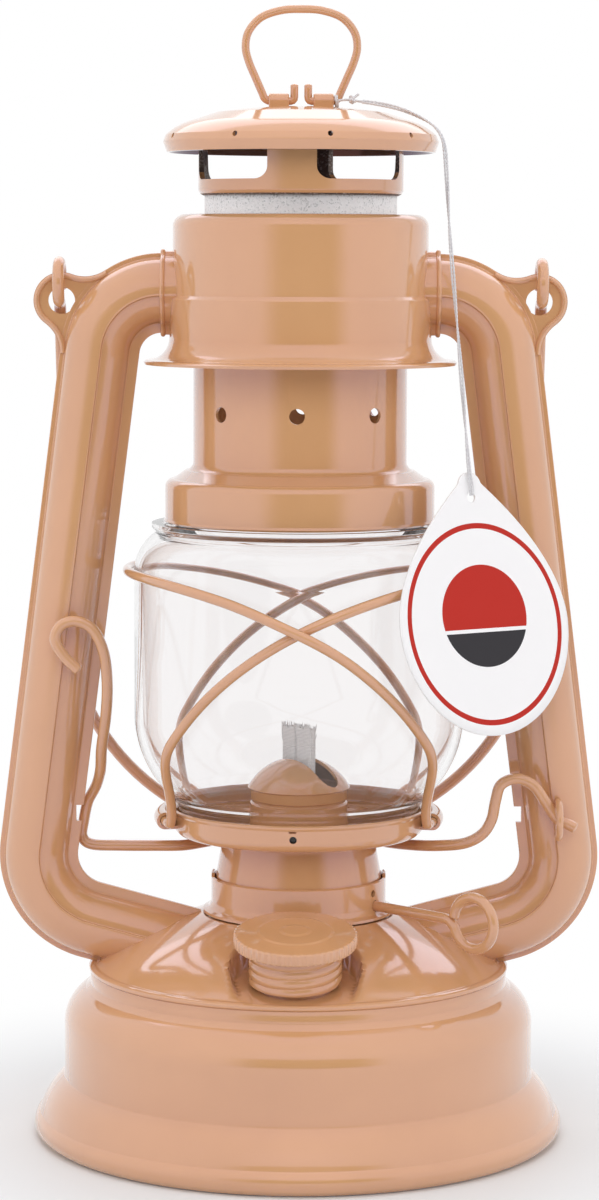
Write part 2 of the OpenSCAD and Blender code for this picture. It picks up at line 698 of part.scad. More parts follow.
// Lift lever and its staple
module lift_lever() {
    color(paint) translate([pivot_x, pivot_y, pivot_z]) swept(through(lever_way, 3), lever_d);
}
module lever_staple() {
    span = 4.4;
    color(paint) difference() {
        translate([pivot_x, pivot_y, pivot_z]) rotate([0, -90, 0]) {
            rotate_extrude(start = 180, angle = 180) translate([span, 0]) circle(d = staple_d);
            for (s = [-1, 1]) translate([s * span, 0, 0]) rotate([-90, 0, 0])
                cylinder(d = staple_d, h = -pivot_y);
        }
        mirrored_x(true) upright() straight_run(run_foot, 90 - tube_lean, run_l / 3) tube_outline(0);
    }
}

// Side tubes, drawn for the left one in the upright plane
module tube_outline(grow) {
    intersection() {
        circle(r = tube_r + grow);
        translate([step_u - grow, -20]) square([40, 40]);
    }
    translate([terrace_u, 0]) circle(r = terrace_r + grow);
}
module straight_run(from, heading, length) {
    translate(from) rotate([0, 0, heading + 90]) rotate([90, 0, 0]) linear_extrude(length) children();
}
module crown_run(from_x, length) {
    straight_run([from_x, entry_z], 0, length) children();
}
module dip_run() {
    straight_run(dip_tip, 180 - tube_dip, dip_l) children();
}

// One pressed half of a tube: its outer and inner line, laid along the tube's bends
half_outer = concat(
    [[-tube_in, sheet_t]],
    turn([terrace_u, 0], terrace_r, 180 - asin(sheet_t / terrace_r), acos((step_u - terrace_u) / terrace_r), 5),
    turn([0, 0], tube_r, acos(step_u / tube_r), asin(sheet_t / tube_r), 8),
    [[tube_out, sheet_t]]
);
half_inner = concat(
    [[-tube_in, 0]],
    turn([terrace_u, 0], terrace_r - sheet_t, 180, acos((step_u + sheet_t - terrace_u) / (terrace_r - sheet_t)), 5),
    turn([0, 0], tube_r - sheet_t, acos((step_u + sheet_t) / (tube_r - sheet_t)), 0, 8),
    [[tube_out, 0]]
);
bend_steps = 8;
tube_rings = concat(
    [[[-stub_end, entry_z], 90]],
    [for (i = [0:bend_steps]) let (a = 90 + (90 - tube_lean) * i / bend_steps)
        [high_c + high_bend_r * [cos(a), sin(a)], a]],
    [for (i = [0:bend_steps]) let (a = 180 - tube_lean + (90 + tube_lean - tube_dip) * i / bend_steps)
        [low_c + low_bend_r * [cos(a), sin(a)], a]],
    [[dip_tip, 270 - tube_dip]]
);
module half_tube() {
    loop = concat(half_outer, reversed(half_inner));
    m = len(loop);
    n = len(tube_rings);
    last = (n - 1) * m;
    skin = [for (ring = tube_rings, q = loop)
        let (flat = ring[0] + q[0] * [cos(ring[1]), sin(ring[1])]) [flat[0], flat[1], q[1]]];
    wall = [for (i = [0:n - 2], j = [0:m - 1], upper = [0, 1])
        let (k = (j + 1) % m, a = i * m, b = a + m)
        upper == 0 ? [a + j, a + k, b + k] : [a + j, b + k, b + j]];
    ends = [for (j = [0:m / 2 - 2], upper = [0, 1])
        upper == 0 ? [j, m - 1 - j, m - 2 - j] : [j, m - 2 - j, j + 1]];
    far = [for (f = ends) [last + f[0], last + f[2], last + f[1]]];
    polyhedron(skin, concat(wall, ends, far));
}
module tube_half(right, back) {
    notch_at = run_foot + upward * (notch_z - run_foot[1]) / upward[1] - outward * tube_in;
    color(paint) mirrored_x(right) upright() mirror([0, 0, back ? 1 : 0]) difference() {
        half_tube();
        translate([notch_at[0] - 1.6, notch_at[1] - 2, -1]) cube([4, 4, 4]);
    }
}
module ear(right) {
    at = [-ear_x, ear_z];
    seam = high_bend_r + tube_out + 0.2;
    inside = ear_r - 0.3;
    function heading(v) = atan2(v[1], v[0]);
    over = meeting(at, high_c, inside + web_r, seam + web_r, 1);
    under = meeting(at, high_c, inside + web_r, seam + web_r, -1);
    foot = turn(high_c, seam, heading(over - high_c), heading(under - high_c), 8);
    web = concat(
        turn(over, web_r, heading(high_c - over), heading(at - over), 6),
        turn(under, web_r, heading(at - under), heading(high_c - under), 6),
        rest(reversed(rest(foot)))
    );
    color(paint) mirrored_x(right) upright() difference() {
        union() {
            difference() {
                translate([at[0], at[1], -2 * sheet_t]) cylinder(r = ear_r, h = 4 * sheet_t);
                translate([high_c[0], high_c[1], -4 * sheet_t]) cylinder(r = seam + 0.1, h = 8 * sheet_t);
            }
            translate([0, 0, -sheet_t]) linear_extrude(2 * sheet_t) polygon(web);
        }
        for (z = [sheet_t, -3 * sheet_t]) translate([at[0], at[1], z]) cylinder(r = ear_r - 1.6, h = 2 * sheet_t);
        translate([at[0], at[1], -5]) cylinder(d = ear_hole_d, h = 10);
    }
}
module left_ear() { ear(false); }
module right_ear() { ear(true); }
module left_tube_front() { tube_half(false, false); }
module left_tube_back() { tube_half(false, true); }
module right_tube_front() { tube_half(true, false); }
module right_tube_back() { tube_half(true, true); }
module sleeve(right) {
    color(paint) difference() {
        mirrored_x(right) upright() crown_run(high_c[0] - 0.4, sleeve_l + 8) difference() {
            tube_sleeve_outline(1);
            tube_sleeve_outline(0);
        }
        filled(crown_path);
    }
}
module tube_sleeve_outline(grow) {
    tube_outline(grow);
    translate([-tube_in - grow, -sheet_t - grow]) square([tube_in + tube_out + 2 * grow, 2 * (sheet_t + grow)]);
}
module left_sleeve() { sleeve(false); }
module right_sleeve() { sleeve(true); }

// Crown and the spring in it
crown_path = concat(
    [[crown_edge_r, crown_edge_z]],
    arc([crown_edge_r - 0.6, crown_edge_z + 0.5], [crown_low_r, crown_edge_z + 5.6], 1.6, 6),
    [[crown_low_r, crown_step_z - 0.5], [crown_high_r, crown_step_z + 0.4]],
    turn([crown_high_r - crown_corner_r, crown_top_z - crown_corner_r], crown_corner_r, 0, 90, 6),
    [[draft_r + 0.5, crown_top_z]]
);
module crown() {
    color(paint) difference() {
        pressed(crown_path);
        for (right = [false, true]) mirrored_x(right) upright() crown_run(high_c[0] - 4, 12) tube_sleeve_outline(0);
    }
}
spring_r = (draft_r + barrel_r) / 2 + 0.2;
spring_way = [for (i = [0:16 * spring_turns])
    let (a = 22.5 * i, span = crown_top_z - sheet_t - barrel_top_z - spring_d - 0.2)
    [spring_r * cos(a), spring_r * sin(a), barrel_top_z + spring_d / 2 + 0.1 + span * i / (16 * spring_turns)]];
spring_gap = min([for (i = [0:len(spring_way) - 17]) norm(spring_way[i + 16] - spring_way[i]) - spring_d]);
module chimney_spring() {
    echo(least_gap_between_spring_turns = spring_gap);
    color("silver") swept(spring_way, spring_d, 6);
}

// Chimney
module chimney_barrel() {
    neck = draft_r + 0.05;
    color(paint) difference() {
        pressed(concat(
            [[holder_r + 0.3, lip_z], [holder_r, lip_z + 0.6]],
            arc([holder_r, holder_top_z], [holder_r - 2.2, holder_top_z + 2], -0.6, 4),
            arc([barrel_r + 2, holder_top_z + 4], [barrel_r, holder_top_z + 6], 0.5, 4),
            [[barrel_r, barrel_top_z - 0.4], [barrel_r - 0.4, barrel_top_z], [neck, barrel_top_z]]
        ));
        for (i = [1:vents]) rotate([0, 0, 360 * i / vents + 88.4]) translate([0, 0, vent_z]) along_x(vent_d / 2, 20, 40);
    }
}
module draft_tube() {
    color("#c4c8ca") translate([0, 0, barrel_top_z - 5]) difference() {
        cylinder(r = draft_r, h = gallery_z + 2 - barrel_top_z + 5);
        translate([0, 0, -1]) cylinder(r = draft_r - sheet_t, h = 60);
    }
}
hood_path = concat(
    [[hood_r - 0.9, hood_z], [hood_r, hood_mid_z]],
    arc([hood_r - 0.6, hood_mid_z + 1.7], [hood_r - 7.1, hood_top_z - 3.5], -0.5, 5),
    arc([hood_r - 12.8, hood_top_z - 1.6], [0, hood_top_z], -0.4, 6)
);
module under_hood() {
    filled(concat([[hood_r + 10, hood_z - 40]], [[hood_r + 10, hood_z]], aside(hood_path, sheet_t)));
}
module gallery() {
    window_h = hood_top_z - gallery_z;
    half_w = gallery_r * sin(45 - asin(post_w / 2 / gallery_r));
    fillet = 3;
    color(paint) difference() {
        intersection() {
            pressed([
                [draft_r + 0.4, gallery_z], [gallery_r - 0.5, gallery_z + 0.4], [gallery_r, gallery_z + 1.2],
                [gallery_r, hood_top_z]
            ]);
            under_hood();
        }
        for (i = [0:3]) rotate([0, 0, 45 + 90 * i + gallery_turn]) translate([0, 0, gallery_z + gallery_band])
            rotate([90, 0, 90]) linear_extrude(gallery_r + 5) {
                translate([-half_w, fillet]) square([2 * half_w, window_h]);
                translate([fillet - half_w, 0]) square([2 * (half_w - fillet), window_h]);
                for (s = [-1, 1]) translate([s * (half_w - fillet), fillet]) circle(r = fillet);
            }
    }
}
module hood() {
    color(paint) difference() {
        pressed(hood_path);
        for (i = [1:hood_vents]) rotate([0, 0, 360 * i / hood_vents - 78]) translate([0, 0, hood_mid_z + 1.2])
            along_x(0.65, hood_r - 4, hood_r + 4);
    }
}
module ring_bosses() {
    r = ring_d / 2 + pin_gap + sheet_t;
    color(paint) difference() {
        for (s = [-1, 1]) translate([s > 0 ? boss_in : -boss_out, 0, ring_z]) {
            along_x(r, 0, boss_out - boss_in);
            translate([0, -r, -r]) cube([boss_out - boss_in, 2 * r, r]);
        }
        translate([0, 0, ring_z]) along_x(ring_d / 2 + pin_gap, -20, 20);
        filled(hood_path);
    }
}
module lift_ring() {
    w = ring_half_w;
    half_way = [
        [boss_out, 0, 0], [w - 4.7, 0, 0.7], [w - 4, 0, 2.2], [w - 2.5, 0, 5.6], [w - 0.8, 0, 9.6],
        [w, 0, ring_h - 9.2], [w - 0.8, 0, ring_h - 5.4], [w - 3.9, 0, ring_h - 2], [w / 2.8, 0, ring_h - 0.3],
    ];
    way = concat(half_way, [[0, 0, ring_h]], [for (p = reversed(half_way)) [-p[0], p[1], p[2]]]);
    color(paint) translate([0, 0, ring_z]) {
        swept(through(way, 3), ring_d);
        for (s = [-1, 1]) mirrored_x(s < 0) {
            along_x(ring_d / 2, prong_x, boss_out + 0.3);
            translate([prong_x, 0, 0]) sphere(d = ring_d);
            translate([prong_x, 0, 0]) cylinder(d = ring_d, h = 4);
        }
    }
}

// Bail: open eyes centred on their necks, which bend into straight legs
module bail() {
    heading = neck_lean - 90;
    bend = asin(eye_bend_r / (eye_r + eye_bend_r));
    mid = (eye_r + eye_bend_r) * [cos(heading - bend), sin(heading - bend)];
    knee = eye_r / sin(neck_lean) * [cos(heading), sin(heading)];
    before = knee - 4 * [cos(heading), sin(heading)];
    after = knee - [0, 4];
    leg = concat(
        turn([0, 0], eye_r, heading - 308, heading - bend, 20),
        rest(turn(mid, eye_bend_r, heading - bend + 180, heading + 90, 5)),
        [before, (before + 2 * knee + after) / 4, after, [eye_r, -bail_leg]]
    );
    function at_side(s) = [for (p = leg) [s * bail_x, p[0], p[1]]];
    grip = [for (i = [1:23]) let (a = 180 + 7.5 * i) [bail_x * cos(a), eye_r, bail_x * sin(a) - bail_leg]];
    color(paint) translate([0, 0, bail_z]) rotate([bail_tilt, 0, 0])
        swept(concat(at_side(-1), grip, reversed(at_side(1))), bail_d, 10);
}

// Tag on its string
module hang_tag() {
    tip_r = 2.6;
    apex = 3.6;
    slope = asin((tag_r - tip_r) / (tag_drop + apex));
    color("white") translate(tag_hole) rotate([0, 0, tag_yaw]) rotate([90 - tag_lean, 0, 0]) difference() {
        linear_extrude(tag_t) {
            translate([0, apex]) circle(r = tip_r);
            translate([0, -tag_drop]) circle(r = tag_r);
            polygon([
                [tip_r * cos(slope), apex + tip_r * sin(slope)], [-tip_r * cos(slope), apex + tip_r * sin(slope)],
                [-tag_r * cos(slope), -tag_drop + tag_r * sin(slope)], [tag_r * cos(slope), -tag_drop + tag_r * sin(slope)]
            ]);
        }
        translate([0, 0, -1]) cylinder(d = 2 * string_d, h = 4);
    }
}
module tag_string() {
    color("#e9e9ea") swept(through(string_route, 4), string_d);
}
module string_knot() {
    color("#e9e9ea") translate(knot_c) sphere(r = knot_r);
}

tank_shell();
tank_bottom();
fount_top();
tank_dome();
filler_pocket();
filler_neck();
fuel_cap();
cap_gasket();
burner_collar();
burner_body();
burner_dome();
wick_tube();
wick();
wick_knob();
spur_wheels();
globe_plate();
glass_globe();
left_guard_wire();
right_guard_wire();
lift_lever();
lever_staple();
left_tube_front();
left_tube_back();
right_tube_front();
right_tube_back();
left_ear();
right_ear();
left_sleeve();
right_sleeve();
crown();
chimney_spring();
chimney_barrel();
draft_tube();
gallery();
hood();
ring_bosses();
lift_ring();
bail();
hang_tag();
tag_string();
string_knot();
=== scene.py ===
import math
import random
import bmesh
import bpy
from mathutils import Matrix, Vector


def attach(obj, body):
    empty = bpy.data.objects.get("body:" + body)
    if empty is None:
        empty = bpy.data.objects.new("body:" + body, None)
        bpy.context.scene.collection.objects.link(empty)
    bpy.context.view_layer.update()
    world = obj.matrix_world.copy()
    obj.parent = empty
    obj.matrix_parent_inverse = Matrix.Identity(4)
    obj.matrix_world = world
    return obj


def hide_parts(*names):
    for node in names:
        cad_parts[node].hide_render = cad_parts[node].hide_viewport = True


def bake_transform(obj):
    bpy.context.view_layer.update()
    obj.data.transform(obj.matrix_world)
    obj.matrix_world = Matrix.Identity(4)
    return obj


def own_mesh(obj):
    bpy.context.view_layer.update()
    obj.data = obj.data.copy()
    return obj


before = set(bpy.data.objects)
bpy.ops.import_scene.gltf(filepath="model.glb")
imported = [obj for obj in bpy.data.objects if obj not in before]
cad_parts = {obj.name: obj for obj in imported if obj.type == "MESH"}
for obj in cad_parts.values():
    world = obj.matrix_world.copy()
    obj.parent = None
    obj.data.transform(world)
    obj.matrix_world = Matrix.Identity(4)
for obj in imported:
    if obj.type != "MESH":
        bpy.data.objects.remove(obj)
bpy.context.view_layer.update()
mm = 0.001  # shapes below are written in millimetres
print("frame loaded:", len(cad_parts), "nodes")


# camera, from the photograph's vanishing lines and the foot's ellipse
view = dict(eye=(0.0, -0.860, 0.223), pitch=5.85, roll=0.2, focalPixels=3454.0, tall=1200.0)


def addObject(name, data):
    item = bpy.data.objects.new(name, data)
    bpy.context.scene.collection.objects.link(item)
    return item


def turned(angle, axis):
    return Matrix.Rotation(math.radians(angle), 4, axis)


def makeCamera():
    data = bpy.data.cameras.new("photoCamera")
    data.sensor_fit = "VERTICAL"
    data.sensor_height = 36.0
    data.lens = view["focalPixels"] / view["tall"] * 36.0
    data.clip_start = 0.01
    camera = addObject("photoCamera", data)
    turn = turned(90 - view["pitch"], "X") @ turned(view["roll"], "Z")
    camera.matrix_world = Matrix.Translation(view["eye"]) @ turn
    bpy.context.scene.camera = camera


makeCamera()
print("camera placed")


# curves, in millimetres; an arc from p to q swells to its left, or with a minus to its right
def arcCentre(p, q, swell):
    chord = math.dist(p, q)
    ax, ay = (q[0] - p[0]) / chord, (q[1] - p[1]) / chord
    side = 1 if swell > 0 else -1
    ox, oy = -ay * side, ax * side
    high = abs(swell)
    r = (chord * chord / 4 + high * high) / (2 * high)
    centre = (p[0] + q[0]) / 2 + ox * (high - r), (p[1] + q[1]) / 2 + oy * (high - r)
    return centre, r, (ax, ay), (ox, oy), math.asin(chord / 2 / r)


def arcPoints(p, q, swell, steps=16):
    (cx, cy), r, (ax, ay), (ox, oy), half = arcCentre(p, q, swell)
    points = []
    for i in range(steps + 1):
        a = half * (2 * i / steps - 1)
        c, s = r * math.cos(a), r * math.sin(a)
        points.append((cx + c * ox + s * ax, cy + c * oy + s * ay))
    return points


def spoke(angle):
    return math.cos(math.radians(angle)), math.sin(math.radians(angle))


def onArc(centre, r, angle):
    c, s = spoke(angle)
    return centre[0] + r * c, centre[1] + r * s


def turnPoints(centre, r, start, end, steps=16):
    return [onArc(centre, r, start + (end - start) * i / steps) for i in range(steps + 1)]


def cleanLine(points, least=0.05):
    kept = [points[0]]
    for p in points[1:]:
        if math.dist(p, kept[-1]) > least:
            kept.append(p)
    return kept


# rounds each corner of a line; a third number in a point is its own radius
def roundLine(points, radius=0.5, steps=5):
    out = [points[0][:2]]
    for before, here, after in zip(points, points[1:], points[2:]):
        r = here[2] if len(here) > 2 else radius
        a = Vector(before[:2]) - Vector(here[:2])
        b = Vector(after[:2]) - Vector(here[:2])
        bend = math.pi - a.angle(b)
        if bend < 0.15 or r <= 0:
            out.append(here[:2])
            continue
        back = min(r * math.tan(bend / 2), a.length * 0.48, b.length * 0.48)
        p, q = Vector(here[:2]) + a.normalized() * back, Vector(here[:2]) + b.normalized() * back
        for i in range(steps + 1):
            t = i / steps
            out.append(tuple((1 - t) ** 2 * p + 2 * t * (1 - t) * Vector(here[:2]) + t * t * q))
    out.append(points[-1][:2])
    return cleanLine(out)


def moveAside(line, t):
    out = []
    last = len(line) - 1
    for i, p in enumerate(line):
        a = Vector(line[max(i, 1)]) - Vector(line[max(i, 1) - 1])
        b = Vector(line[min(i, last - 1) + 1]) - Vector(line[min(i, last - 1)])
        na, nb = Vector((-a.y, a.x)).normalized(), Vector((-b.y, b.x)).normalized()
        n = (na + nb).normalized()
        q = Vector(p) + n * t / max(0.5, n.dot(nb))
        out.append((max(q.x, 0.0), q.y))
    return out


def lineGap(point, line):
    best = 1e9
    p = Vector(point)
    for a, b in zip(line, line[1:]):
        a, b = Vector(a), Vector(b)
        along = b - a
        share = min(max((p - a).dot(along) / along.length_squared, 0.0), 1.0)
        best = min(best, (p - a - along * share).length)
    return best


# closed section of a sheet: its outer line, the line moved in by its thickness, and round edges
def sheetLoop(line, t):
    inner = moveAside(line, t)
    # inside a tight corner the moved points cross over, so those too near the outer line go
    inner = [inner[0]] + [q for q in inner[1:-1] if lineGap(q, line) > 0.998 * t] + [inner[-1]]

    def roundEdge(a, b, before):
        a, b, before = Vector(a), Vector(b), Vector(before)
        return [tuple((a + b) / 2 + (a - before).normalized() * t * 0.4)]

    loop = list(line)
    if line[-1][0] > 0.05:
        loop += roundEdge(line[-1], inner[-1], line[-2])
    return loop + inner[::-1] + roundEdge(inner[0], line[0], line[1])


def smoothThrough(points, parts=8):
    out = []
    n = len(points)
    p = [Vector(v) for v in points]
    for i in range(n - 1):
        a, b, c, d = p[max(i - 1, 0)], p[i], p[i + 1], p[min(i + 2, n - 1)]
        for j in range(parts):
            t = j / parts
            even = 2 * b + (2 * a - 5 * b + 4 * c - d) * t * t
            odd = (c - a) * t + (3 * b - a - 3 * c + d) * t ** 3
            out.append((even + odd) / 2)
    out.append(p[-1])
    return out


# meshes: their data is a pair of points, in millimetres, and faces
def newMesh(name, points, faces):
    mesh = bpy.data.meshes.new(name)
    mesh.from_pydata([tuple(v * mm for v in p) for p in points], [], faces)
    fixer = bmesh.new()
    fixer.from_mesh(mesh)
    bmesh.ops.remove_doubles(fixer, verts=fixer.verts, dist=1e-6)
    bmesh.ops.recalc_face_normals(fixer, faces=fixer.faces)
    fixer.to_mesh(mesh)
    fixer.free()
    return mesh


def addMesh(name, points, faces, material, body, nodes=(), slot=None, sharp=40):
    mesh = newMesh(name, points, faces)
    mesh.shade_smooth()
    mesh.set_sharp_from_angle(angle=math.radians(sharp))
    mesh.materials.append(material)
    piece = addObject(name, mesh)
    if body:
        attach(piece, body)
    if nodes:
        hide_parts(*nodes)
    return piece


# a painted piece, named after the node that it stands for
def addPainted(node, data, body="frame", sharp=50):
    first, *others = node.split("_")
    name = first + "".join(word.capitalize() for word in others)
    return addMesh(name, *data, paint, body, [node], "paint", sharp)


def addWire(node, line, d, body, sides=14):
    return addPainted(node, wireData(line, d, sides), body, 40)


# a second material for the faces that look to the axis or downwards: painted shade on the hood, the sprayed
# zinc lining in the gallery
def liningAndShadeInside(piece, material):
    piece.data.materials.append(material)
    for face in piece.data.polygons:
        inward = -face.normal.x * face.center.x - face.normal.y * face.center.y
        reach = math.hypot(face.center.x, face.center.y)
        if inward > 0.5 * reach or face.normal.z < -0.75:
            face.material_index = 1


# faces of a grid of rows; a ring joins its last row to its first
def gridFaces(rows, count, wrap=True, ring=False):
    faces = []
    for i in range(rows if ring else rows - 1):
        a, b = i * count, (i + 1) % rows * count
        for j in range(count if wrap else count - 1):
            k = (j + 1) % count
            faces.append((a + j, a + k, b + k, b + j))
    return faces


def cappedFaces(rows, count):
    return gridFaces(rows, count) + [tuple(range(count)), tuple(range((rows - 1) * count, rows * count))]


def latheData(loop, steps=160, shape=None):
    points = []
    n = len(loop)
    for i in range(steps):
        a = 2 * math.pi * i / steps
        for r, z in loop:
            if shape:
                r, z = shape(r, z, a)
            points.append((r * math.cos(a), r * math.sin(a), z))
    # nothing stands on the axis itself
    faces = gridFaces(steps, n, ring=True)
    return points, [f for f in faces if max(loop[f[0] % n][0], loop[f[1] % n][0]) >= 1e-6]


def partLathe(loop, start, end, steps):
    points = []
    for i in range(steps + 1):
        c, s = spoke(start + (end - start) * i / steps)
        points += [(r * c, r * s, z) for r, z in loop]
    return points, cappedFaces(steps + 1, len(loop))


def turnedSheet(line, t, steps, radius=0.0):
    return latheData(sheetLoop(roundLine(line, radius), t), steps)


def sweepData(line, r, sides=14):
    p = [Vector(v) for v in line]
    n = len(p)
    radii = r if isinstance(r, list) else [r] * n
    points = []
    side = None
    for i in range(n):
        ahead = (p[min(i + 1, n - 1)] - p[max(i - 1, 0)]).normalized()
        if side is None:
            side = ahead.orthogonal().normalized()
        side = (side - side.dot(ahead) * ahead).normalized()
        up = ahead.cross(side)
        for j in range(sides):
            a = 2 * math.pi * j / sides
            points.append(tuple(p[i] + radii[i] * (math.cos(a) * side + math.sin(a) * up)))
    return points, cappedFaces(n, sides)


# a wire with rounded ends
def wireData(line, d, sides=14):
    p = [Vector(v) for v in line]
    r = d / 2
    first, last = (p[0] - p[1]).normalized(), (p[-1] - p[-2]).normalized()
    bulge = [0.35, 0.25, 0.1]
    width = [0.35, 0.72, 0.94]
    head = [p[0] + first * r * b for b in bulge]
    tail = [p[-1] + last * r * b for b in reversed(bulge)]
    radii = [r * w for w in width] + [r] * len(p) + [r * w for w in reversed(width)]
    return sweepData(head + p + tail, radii, sides)


def joinData(*parts):
    points, faces = [], []
    for p, f in parts:
        base = len(points)
        points += p
        faces += [tuple(i + base for i in face) for face in f]
    return points, faces


def placeData(data, matrix):
    return [tuple(matrix @ Vector(p)) for p in data[0]], data[1]


# cuts holes with closed cutters
def cutData(data, *cutters):
    target, *tools = [addObject("cutPiece", newMesh("cutPiece", *part)) for part in (data, *cutters)]
    for tool in tools:
        step = target.modifiers.new("cut", "BOOLEAN")
        step.operation = "DIFFERENCE"
        step.solver = "EXACT"
        step.object = tool
    graph = bpy.context.evaluated_depsgraph_get()
    result = bpy.data.meshes.new_from_object(target.evaluated_get(graph))
    for piece in (target, *tools):
        bpy.data.objects.remove(piece)
    return [tuple(v.co / mm) for v in result.vertices], [tuple(f.vertices) for f in result.polygons]


def prismData(outline, low, high):
    return [(x, y, z) for z in (low, high) for x, y in outline], cappedFaces(2, len(outline))


def rodData(start, end, r, sides=28):
    return sweepData([start, end], r, sides)


def radialRod(angle, inner, outer, z, r, sides=28):
    return rodData((*onArc((0, 0), inner, angle), z), (*onArc((0, 0), outer, angle), z), r, sides)


# shader helpers: a value that is a socket is linked, and any other is set
def setInput(node, key, value):
    if isinstance(value, bpy.types.NodeSocket):
        node.id_data.links.new(value, node.inputs[key])
    else:
        node.inputs[key].default_value = value


def setInputs(node, values):
    for key, value in values.items():
        setInput(node, key, value)


def addNode(tree, kind, *sources, **values):
    node = tree.nodes.new("ShaderNode" + kind)
    setInputs(node, dict(enumerate(sources)))
    for key, value in values.items():
        if hasattr(node, key):
            setattr(node, key, value)
        else:
            setInput(node, key, value)
    return node


def addMath(tree, operation, *sources):
    return addNode(tree, "Math", *sources, operation=operation).outputs["Value"]


def objectPlace(tree):
    return addNode(tree, "TexCoord").outputs["Object"]


def addRamp(tree, source, stops):
    ramp = addNode(tree, "ValToRGB", source)
    edge = ramp.color_ramp
    while len(edge.elements) < len(stops):
        edge.elements.new(0.5)
    for element, (place, colour) in zip(edge.elements, stops):
        element.position = place
        element.color = (*colour, 1)
    return ramp.outputs["Color"]


def addRange(tree, source, low, high, start=0.0, end=1.0, kind="LINEAR"):
    node = addNode(tree, "MapRange", Value=source, interpolation_type=kind)
    setInputs(node, {"From Min": start, "From Max": end, "To Min": low, "To Max": high})
    return node.outputs["Result"]


def addBump(tree, shader, height, strength, distance):
    bump = addNode(tree, "Bump", Height=height, Strength=strength, Distance=distance)
    setInput(shader, "Normal", bump.outputs["Normal"])


def newGroup(name, ins, outs):
    group = bpy.data.node_groups.new(name, "ShaderNodeTree")
    for label, value in ins.items():
        socket = group.interface.new_socket(name=label, in_out="INPUT", socket_type="NodeSocketFloat")
        socket.default_value = value
    for label in outs:
        group.interface.new_socket(name=label, in_out="OUTPUT", socket_type="NodeSocketFloat")
    return group, group.nodes.new("NodeGroupInput").outputs, group.nodes.new("NodeGroupOutput")


# fine orange-peel of sprayed enamel: a height, a cloudy tone and a roughness mask
def makePaintGrain():
    group, ins, end = newGroup("paintGrain", dict(Peel=900.0, Cloud=30.0), ("Height", "Tone", "Haze"))
    place = objectPlace(group)
    peel = addNode(group, "TexNoise", Vector=place, Scale=ins["Peel"], Detail=2.0, Roughness=0.4)
    cloud = addNode(group, "TexNoise", Vector=place, Scale=ins["Cloud"], Detail=3.0, Roughness=0.55)
    haze = addNode(group, "TexNoise", Vector=place, Scale=160.0, Detail=4.0)
    setInputs(end, {"Height": peel.outputs["Fac"], "Tone": cloud.outputs["Fac"], "Haze": haze.outputs["Fac"]})
    return group


# zinc flowers of hot-dip galvanising: a tone that changes from crystal to crystal
def makeZincFlowers():
    group, ins, end = newGroup("zincFlowers", dict(Size=500.0), ("Tone", "Height"))
    place = objectPlace(group)
    cells = addNode(group, "TexVoronoi", Vector=place, Scale=ins["Size"], feature="F1")
    fine = addNode(group, "TexNoise", Vector=place, Scale=1400.0, Detail=3.0).outputs["Fac"]
    split = addNode(group, "SeparateColor", cells.outputs["Color"])
    dim = addMath(group, "MULTIPLY", fine, 0.3)
    setInputs(end, {"Tone": addMath(group, "MULTIPLY_ADD", split.outputs["Red"], 0.7, dim), "Height": fine})
    return group


paintGrain = makePaintGrain()
zincFlowers = makeZincFlowers()


def newMaterial(name):
    material = bpy.data.materials.new(name)
    material.use_nodes = True
    tree = material.node_tree
    return material, tree, tree.nodes["Principled BSDF"]


enamel = dict(
    dark=(0.66, 0.362, 0.165), light=(0.71, 0.395, 0.183), smooth=0.08, rough=0.17, coat=0.8,
    tint=(0.8, 0.52, 1.0, 1),
)


# a shade below 1 makes a darker copy of the same enamel, which paints shade
def makeEnamel(name, shade=1.0):
    material, tree, shader = newMaterial(name)
    grain = addNode(tree, "Group", node_tree=paintGrain, Peel=1100.0, Cloud=26.0).outputs
    dark, light = (tuple(c * shade for c in enamel[tone]) for tone in ("dark", "light"))
    setInputs(shader, {
        "Base Color": addRamp(tree, grain["Tone"], [(0.3, dark), (0.7, light)]),
        "Roughness": addRange(tree, grain["Haze"], enamel["smooth"], enamel["rough"]),
        "Coat Weight": enamel["coat"],
        "Coat Roughness": 0.06,
        "Specular IOR Level": 1.0,
        "Specular Tint": enamel["tint"],
    })
    addBump(tree, shader, grain["Height"], 0.12, 0.00012)
    return material


def makeZinc(name, light, dark, rough):
    material, tree, shader = newMaterial(name)
    flowers = addNode(tree, "Group", node_tree=zincFlowers, Size=2600.0).outputs
    setInputs(shader, {
        "Base Color": addRamp(tree, flowers["Tone"], [(0.08, dark), (0.35, light)]),
        "Roughness": addRange(tree, flowers["Tone"], rough * 0.6, rough),
        "Metallic": 1.0,
    })
    addBump(tree, shader, flowers["Height"], 0.5, 0.0003)
    return material


def makeGlass():
    material, tree, shader = newMaterial("clearGlass")
    # light passes straight through to what stands inside
    path = addNode(tree, "LightPath")
    setInputs(shader, {
        "Base Color": (0.96, 0.948, 0.948, 1),
        "Transmission Weight": 1.0,
        "Roughness": 0.0,
        "IOR": 1.45,
        "Alpha": addRange(tree, path.outputs["Is Shadow Ray"], 1.0, 0.12),
    })
    wave = addNode(tree, "TexNoise", Vector=objectPlace(tree), Scale=45.0, Detail=1.0)
    addBump(tree, shader, wave.outputs["Fac"], 0.06, 0.0012)
    return material


def makeRubber():
    material, tree, shader = newMaterial("sealRubber")
    grain = addNode(tree, "Group", node_tree=paintGrain, Peel=700.0, Cloud=90.0).outputs
    stops = [(0.3, (0.022, 0.021, 0.02)), (0.7, (0.06, 0.055, 0.05))]
    setInputs(shader, {"Base Color": addRamp(tree, grain["Tone"], stops), "Roughness": 0.6})
    addBump(tree, shader, grain["Height"], 0.3, 0.0003)
    return material


